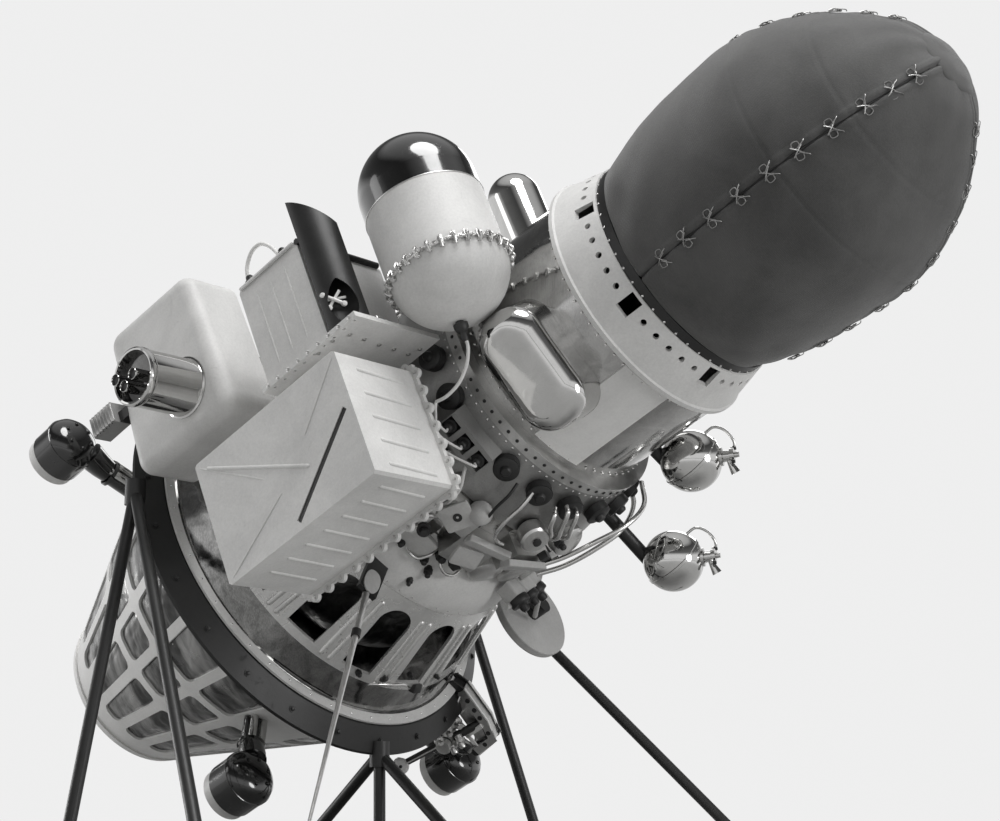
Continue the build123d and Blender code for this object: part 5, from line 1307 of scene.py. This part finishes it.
# Turn, reach, height and size of each plug, then turn, reach and height of the ends and bends of the struts
DISH_PLUGS = ((30.4, 0.394, 0.408, 1.15), (24.0, 0.396, 0.412, 1.0), (17.9, 0.395, 0.406, 1.1))
DISH_STRUTS = (
    ((36, 0.372, 0.404), (54, 0.420, 0.228)),
    ((50, 0.370, 0.404), (60, 0.440, 0.222)),
    ((44, 0.371, 0.390), (58, 0.520, 0.215)),
)
DISH_BAR = ((12, 0.392, 0.392), (24, 0.394, 0.384), (38, 0.390, 0.388), (52, 0.372, 0.396))


def build_dish(paints):
    """Three dark plugs on the dish's bracket, its rim roll and struts."""
    dark, steel = [], []
    centre = polar(62, 0.5324, 0.19)
    for turn, reach, height, size in DISH_PLUGS:
        spot = skin(turn, reach - 0.012, height, slope=10)
        dark.append(stamp(sized(CUP, size * 0.8, sides=22), [spot]))
        steel.append(stamp(slab(0.024, 0.022, -0.040, 0.0, edge=0.001, power=8, sides=20), [spot]))
    for ends in DISH_STRUTS:
        start, end = (polar(*spot) for spot in ends)
        middle = (start + end) / 2 + np.array((0.004, 0, 0.01))
        steel.append(sweep((start, middle, end), 0.0062, sides=10, fine=5))
    steel.append(sweep([polar(*spot) for spot in DISH_BAR], 0.0070, sides=10, fine=5))
    angle = np.linspace(0, TAU, 72, endpoint=False)
    rim = centre + np.stack((0.1165 * np.cos(angle), 0.1165 * np.sin(angle), 0 * angle - 0.003), -1)
    steel.append(sweep(rim, 0.0026, sides=8, fine=1, closed=True))
    piece("dish_plugs", dark, paints["rubber"], crease=35)
    piece("dish_struts", steel, paints["stone"], crease=40)


# The prop rod's turn round the craft, its foot and its head
PROP_TURN = -41.5
PROP_ENDS = np.array((0.936, -0.63, 0.2063)), np.array((0.3543, -0.3127, 0.3285))


def build_stand_trim(paints):
    """Bolts round the hoop, their heads square to its slope, and a pale oval plate on the prop rod's lug."""
    radial = polar(PROP_TURN, 1.0, 0.0)
    plate = slab(0.021, 0.036, -0.001, 0.003, edge=0.001, power=2.4, sides=32)
    lug = polar(PROP_TURN, 0.435, 0.335)
    piece("prop_lug_plate", [stamp(plate, [seat(lug, AXIS, radial)])], paints["stone"], crease=40)
    collar = lathe(((0.0, -0.009), (0.0105, -0.009), (0.0105, 0.009), (0.0, 0.009)), sides=16)
    foot, head = PROP_ENDS
    piece(
        "prop_collar", [stamp(collar, [seat(head + (foot - head) * 0.16, foot - head)])],
        paints["rubber"], crease=40,
    )
    heads = [seat(polar(turn, 0.5235, -0.0222), polar(turn, 0.54, 0.84)) for turn in np.arange(0, 360, 15.0)]
    piece(
        "hoop_bolts", [stamp(bolt(radius=0.0055, rise=0.004), heads)], paints["black"], crease=40
    )


# Lamps lower than this don't light the floor
LOW_LAMP = 1.5
# Distance from the origin at which the floor is half faded into the backdrop, and the fade's width
FLOOR_FADE = (4.5, 9.0)
# Stops of the sky from straight down to straight up: as it lights, and as metal and glass show it
SKY_STOPS = ((0.0, 0.05), (0.49, 0.08), (0.53, 0.26), (0.75, 0.42), (1.0, 0.6))
SEEN_STOPS = (
    (0.0, 0.3), (0.495, 0.4), (0.505, 0.86), (0.63, 0.86), (0.70, 0.16), (0.84, 0.07), (0.9, 0.5), (1.0, 0.7)
)
# Each lamp's name, place, target, width and power
LAMPS = (
    ("key", (1.3, -0.9, 5.2), (0.1, 0, 0.8), 2.6, 150.0),
    ("fill", (4.9, 0.7, 1.1), (0.1, 0, 0.9), 1.7, 60.0),
    ("side", (-3.4, -3.4, 2.6), (-0.2, 0, 0.8), 1.6, 8.0),
    ("low", (-4.2, -1.6, 0.8), (0.0, 0, 0.6), 1.2, 34.0),
    ("rim", (-1.5, 4.2, 3.4), (0, 0, 0.9), 2.4, 40.0),
)
# Film width in millimetres, clip distances, and the camera's axes and its place from the hub
SENSOR = 36.0
CLIP = (0.05, 60.0)
CAMERA_RIGHT = (0.76300798, 0.64638906, 0.0)
CAMERA_UP = (0.13770051, -0.16254389, 0.97704557)
CAMERA_BACK = (0.63155157, -0.74549357, -0.21303039)
CAMERA_SPOT = (3.4716, -3.4271, -0.7164)


def looked_at(nodes):
    """1 for the rays that show a background: the camera's, and those that metal or glass sends on."""
    camera, glossy, passed = (nodes.ray(kind) for kind in ("Camera", "Glossy", "Transmission"))
    return (camera + glossy + passed).clamp()


def spare(lamp, ground):
    """Keeps a low lamp's light off the floor, where it would leave a bright patch."""
    lit = bpy.data.collections.new(lamp.name + "_spares")
    lit.objects.link(ground)
    lit.collection_objects[0].light_linking.link_state = "EXCLUDE"
    lamp.light_linking.receiver_collection = lit


def build_floor(stage):
    """Pale floor that fades with distance into the backdrop, for every ray that shows a background."""
    reach = stage.floor_reach
    corners = [(x * reach, y * reach, 0) for x, y in ((-1, -1), (1, -1), (1, 1), (-1, 1))]
    floor = bpy.data.meshes.new("floor")
    floor.from_pydata(corners, [], [(0, 1, 2, 3)])
    ground = bpy.data.objects.new("floor", floor)
    bpy.context.scene.collection.objects.link(ground)
    p = Paint("pale_floor")
    floor.materials.append(p.done(base_color=tuple(stage.floor_colour), roughness=0.8))
    far = p.node("ShaderNodeVectorMath", {"operation": "LENGTH"}, {0: p.place()}, 1).above(*FLOOR_FADE)
    glow = p.node("ShaderNodeEmission", {}, {"Color": tuple(stage.backdrop), "Strength": 1.0})
    mixed = p.node(
        "ShaderNodeMixShader", {}, {0: far * looked_at(p), 1: Socket(p, p.shader.outputs[0]), 2: glow}
    )
    p.tree.links.new(mixed.source, p.end.inputs["Surface"])
    return ground


def build_sky(backdrop):
    """Sky that lights the craft, with a crisper one for its mirrors and a plain backdrop for the camera."""
    world = bpy.data.worlds.new("studio")
    bpy.context.scene.world = world
    world.use_nodes = True
    sky = Nodes(world.node_tree)
    height = sky.node("ShaderNodeSeparateXYZ", {}, {0: sky.node("ShaderNodeTexCoord", pick="Generated")}, 2)
    lit = sky.node("ShaderNodeValToRGB", {"stops": SKY_STOPS}, {0: height * 0.5 + 0.5})
    seen = sky.node("ShaderNodeValToRGB", {"stops": SEEN_STOPS}, {0: height * 0.5 + 0.5})
    shade = sky.tint((sky.ray("Glossy") + sky.ray("Transmission")).clamp(), lit, seen)
    shade = sky.tint(sky.ray("Camera"), shade, backdrop)
    shine = sky.node("ShaderNodeBackground", {}, {"Color": shade, "Strength": 1.0})
    sky.node("ShaderNodeOutputWorld", {}, {"Surface": shine}, None)


def build_lamps(level, ground):
    """Soft round lamps, each turned to its target."""
    for name, spot, target, width, power in LAMPS:
        lamp = bpy.data.lights.new(name, "AREA")
        lamp.shape, lamp.size, lamp.energy = "DISK", width, power * level
        holder = bpy.data.objects.new(name, lamp)
        bpy.context.scene.collection.objects.link(holder)
        holder.location = spot
        holder.visible_camera = False
        if spot[2] < LOW_LAMP:
            spare(holder, ground)
        holder.rotation_euler = (Vector(target) - Vector(spot)).to_track_quat("-Z", "Y").to_euler()


def build_stage(stage):
    """Floor, sky and lamps, and the camera at the photograph's angle."""
    scene = bpy.context.scene
    scene.view_settings.view_transform = "Standard"
    ground = build_floor(stage)
    build_sky(tuple(stage.backdrop))
    build_lamps(stage.lamp_level, ground)
    view = bpy.data.cameras.new("view")
    eye = bpy.data.objects.new("view", view)
    scene.collection.objects.link(eye)
    view.sensor_width, view.lens = SENSOR, stage.focal_length
    view.clip_start, view.clip_end = CLIP
    turn = Matrix((CAMERA_RIGHT, CAMERA_UP, CAMERA_BACK)).transposed()
    eye.matrix_world = Matrix.Translation(Vector(HUB) + Vector(CAMERA_SPOT)) @ turn.to_4x4()
    scene.camera = eye


def length(name, description, default):
    """A length in metres that a user may change."""
    return bpy.props.FloatProperty(
        name=name, description=description, default=default, min=0.0, unit="LENGTH", precision=4
    )


def colour(name, description, default):
    """A plain colour, as linear red, green and blue."""
    return bpy.props.FloatVectorProperty(
        name=name, description=description, default=default, min=0.0, max=1.0, subtype="COLOR"
    )


def shades():
    """Two colour properties for each finish: its dark and its light end."""
    found = {}
    for key, *levels, _, _ in FINISHES:
        words = key.replace("_", " ")
        for end, degree, level in zip(("dark", "light"), ("Darkest", "Lightest"), levels):
            description = f"{degree} colour of the {words} finish"
            found[f"{key}_{end}"] = colour(f"{words} {end}".capitalize(), description, grey(level))
    return found


class LanderColours(bpy.types.PropertyGroup):
    """Colours of every finish."""

    __annotations__ = shades()


class LanderSizes(bpy.types.PropertyGroup):
    """Sizes of the fabric, foil, lines and fittings."""

    seam_groove: length("Seam groove", "Depth of the cover's laced seams", 0.0065)
    crease_depth: length("Crease depth", "Height of the soft creases in the cover", 0.0085)
    lace_wire: length("Lace wire", "Radius of the wire eyes along the seams", 0.0011)
    pane_buckle: length("Pane buckle", "Height of one buckle in a foil pane", 0.0011)
    rivet_radius: length("Rivet radius", "Radius of the small rivets round the rings", 0.0028)
    screw_radius: length("Screw radius", "Radius of the screws round the ribbed housing", 0.0026)
    cable_radius: length("Cable radius", "Radius of the cables at the socket box", 0.0030)
    canister_line: length("Canister line", "Radius of the white line at the canister's foot", 0.0038)
    feed_tube: length("Feed tube", "Radius of the bright tubes that feed a steering chamber", 0.0095)
    fill_line: length("Fill line", "Radius of the line at a gas bottle", 0.0034)
    clip_count: bpy.props.IntProperty(
        name="Clips", description="Clips round the canister's joint", default=30, min=3
    )


class LanderStage(bpy.types.PropertyGroup):
    """Floor, backdrop, lamps and lens."""

    floor_colour: colour("Floor", "Colour of the floor", (0.44, 0.44, 0.435))
    backdrop: colour("Backdrop", "Colour of the backdrop behind the lander", (0.86, 0.86, 0.86))
    floor_reach: length("Floor reach", "Half the floor's width", 30.0)
    lamp_level: bpy.props.FloatProperty(
        name="Lamp level",
        description="Multiplies the power of every lamp",
        default=1.0,
        min=0.0,
        subtype="FACTOR",
    )
    focal_length: bpy.props.FloatProperty(
        name="Lens",
        description="Focal length for a film 36 mm wide, as fitted to the photograph",
        default=71.136,
        min=1.0,
        unit="CAMERA",
    )


class LANDER_OT_finishes(bpy.types.Operator):
    """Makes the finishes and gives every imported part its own"""

    bl_idname = "lander.finishes"
    bl_label = "Finishes"

    def execute(self, context):
        make_paints(context.scene.lander_colours)
        finish_nodes(finishes())
        return {"FINISHED"}


class LANDER_OT_cover(bpy.types.Operator):
    """Canvas cover of the capsule, its lacing, seam cords and nose cap"""

    bl_idname = "lander.cover"
    bl_label = "Canvas cover"

    def execute(self, context):
        build_cover(finishes(), context.scene.lander_sizes)
        return {"FINISHED"}


class LANDER_OT_panes(bpy.types.Operator):
    """Buckled foil panes behind the lattice skirt's windows"""

    bl_idname = "lander.panes"
    bl_label = "Skirt panes"

    def execute(self, context):
        build_panes(finishes(), context.scene.lander_sizes)
        return {"FINISHED"}


class LANDER_OT_rivets(bpy.types.Operator):
    """Rivets round the rings, and bolts along the shelf and flange"""

    bl_idname = "lander.rivets"
    bl_label = "Rivets"

    def execute(self, context):
        build_rivets(finishes(), context.scene.lander_sizes)
        return {"FINISHED"}


class LANDER_OT_ports(bpy.types.Operator):
    """Plugs in the port ring's sockets and over the control bay"""

    bl_idname = "lander.ports"
    bl_label = "Port plugs"

    def execute(self, context):
        build_sockets(finishes())
        return {"FINISHED"}


class LANDER_OT_socket_box(bpy.types.Operator):
    """Dark cells, plugs and cables of the socket box"""

    bl_idname = "lander.socket_box"
    bl_label = "Socket box"

    def execute(self, context):
        build_socket_box(finishes(), context.scene.lander_sizes)
        return {"FINISHED"}


class LANDER_OT_waist(bpy.types.Operator):
    """Plates, drums and boxes crowded round the waist"""

    bl_idname = "lander.waist"
    bl_label = "Waist equipment"

    def execute(self, context):
        build_waist(finishes())
        return {"FINISHED"}


class LANDER_OT_pipes(bpy.types.Operator):
    """Formed pipes and clipped lines round the waist and deck"""

    bl_idname = "lander.pipes"
    bl_label = "Pipes"

    def execute(self, context):
        build_pipes(finishes())
        return {"FINISHED"}


class LANDER_OT_canister(bpy.types.Operator):
    """Clip ring, joint, plug and line of the canister"""

    bl_idname = "lander.canister"
    bl_label = "Canister trim"

    def execute(self, context):
        build_canister(finishes(), context.scene.lander_sizes)
        return {"FINISHED"}


class LANDER_OT_housings(bpy.types.Operator):
    """Creases, slot, screws, seals and line of the side housings"""

    bl_idname = "lander.housings"
    bl_label = "Housing trim"

    def execute(self, context):
        build_housings(finishes(), context.scene.lander_sizes)
        return {"FINISHED"}


class LANDER_OT_trough(bpy.types.Operator):
    """Crossed feed and clips of the trough antenna"""

    bl_idname = "lander.trough"
    bl_label = "Trough feed"

    def execute(self, context):
        build_trough(finishes())
        return {"FINISHED"}


class LANDER_OT_barrel(bpy.types.Operator):
    """Bright sensor barrel, and the louvre blades beside it"""

    bl_idname = "lander.barrel"
    bl_label = "Sensor barrel"

    def execute(self, context):
        build_barrel(finishes())
        return {"FINISHED"}


class LANDER_OT_chambers(bpy.types.Operator):
    """Caps, throats, elbows and feed tubes of the steering chambers"""

    bl_idname = "lander.chambers"
    bl_label = "Steering chambers"

    def execute(self, context):
        build_pots(finishes(), context.scene.lander_sizes)
        return {"FINISHED"}


class LANDER_OT_bottles(bpy.types.Operator):
    """Bands, bosses and lines of the gas bottles"""

    bl_idname = "lander.bottles"
    bl_label = "Gas bottles"

    def execute(self, context):
        build_spheres(finishes(), context.scene.lander_sizes)
        return {"FINISHED"}


class LANDER_OT_outrigger(bpy.types.Operator):
    """Valves, plates and lines on the outrigger bracket"""

    bl_idname = "lander.outrigger"
    bl_label = "Outrigger"

    def execute(self, context):
        build_outrigger(finishes())
        return {"FINISHED"}


class LANDER_OT_dish(bpy.types.Operator):
    """Plugs, struts and rolled rim of the dish"""

    bl_idname = "lander.dish"
    bl_label = "Dish trim"

    def execute(self, context):
        build_dish(finishes())
        return {"FINISHED"}


class LANDER_OT_stand(bpy.types.Operator):
    """Bolts round the stand's hoop"""

    bl_idname = "lander.stand"
    bl_label = "Stand trim"

    def execute(self, context):
        build_stand_trim(finishes())
        return {"FINISHED"}


class LANDER_OT_stage(bpy.types.Operator):
    """Floor, backdrop, lamps and camera"""

    bl_idname = "lander.stage"
    bl_label = "Stage and camera"

    def execute(self, context):
        build_stage(context.scene.lander_stage)
        return {"FINISHED"}


STEPS = (
    LANDER_OT_finishes,
    LANDER_OT_cover,
    LANDER_OT_panes,
    LANDER_OT_rivets,
    LANDER_OT_ports,
    LANDER_OT_socket_box,
    LANDER_OT_waist,
    LANDER_OT_pipes,
    LANDER_OT_canister,
    LANDER_OT_housings,
    LANDER_OT_trough,
    LANDER_OT_barrel,
    LANDER_OT_chambers,
    LANDER_OT_bottles,
    LANDER_OT_outrigger,
    LANDER_OT_dish,
    LANDER_OT_stand,
    LANDER_OT_stage,
)


class LANDER_PT_sidebar(bpy.types.Panel):
    """Lists the steps in order, then the sizes, stage and colours"""

    bl_idname = "LANDER_PT_sidebar"
    bl_label = "Lunar lander"
    bl_space_type = "VIEW_3D"
    bl_region_type = "UI"
    bl_category = "Lander"

    def draw(self, context):
        column = self.layout.column(align=True)
        for step in STEPS:
            column.operator(step.bl_idname)
        scene = context.scene
        for group in (scene.lander_sizes, scene.lander_stage, scene.lander_colours):
            column.separator()
            for key in group.__annotations__:
                column.prop(group, key)


CLASSES = (LanderColours, LanderSizes, LanderStage, *STEPS, LANDER_PT_sidebar)


def register():
    """Adds the classes and their settings to Blender."""
    for one in CLASSES:
        bpy.utils.register_class(one)
    bpy.types.Scene.lander_colours = bpy.props.PointerProperty(type=LanderColours)
    bpy.types.Scene.lander_sizes = bpy.props.PointerProperty(type=LanderSizes)
    bpy.types.Scene.lander_stage = bpy.props.PointerProperty(type=LanderStage)


def unregister():
    """Takes them out again."""
    del bpy.types.Scene.lander_stage
    del bpy.types.Scene.lander_sizes
    del bpy.types.Scene.lander_colours
    for one in reversed(CLASSES):
        bpy.utils.unregister_class(one)


def main():
    """Runs every step in order."""
    register()
    for step in STEPS:
        family, name = step.bl_idname.split(".")
        getattr(getattr(bpy.ops, family), name)()


if __name__ == "__main__":
    main()
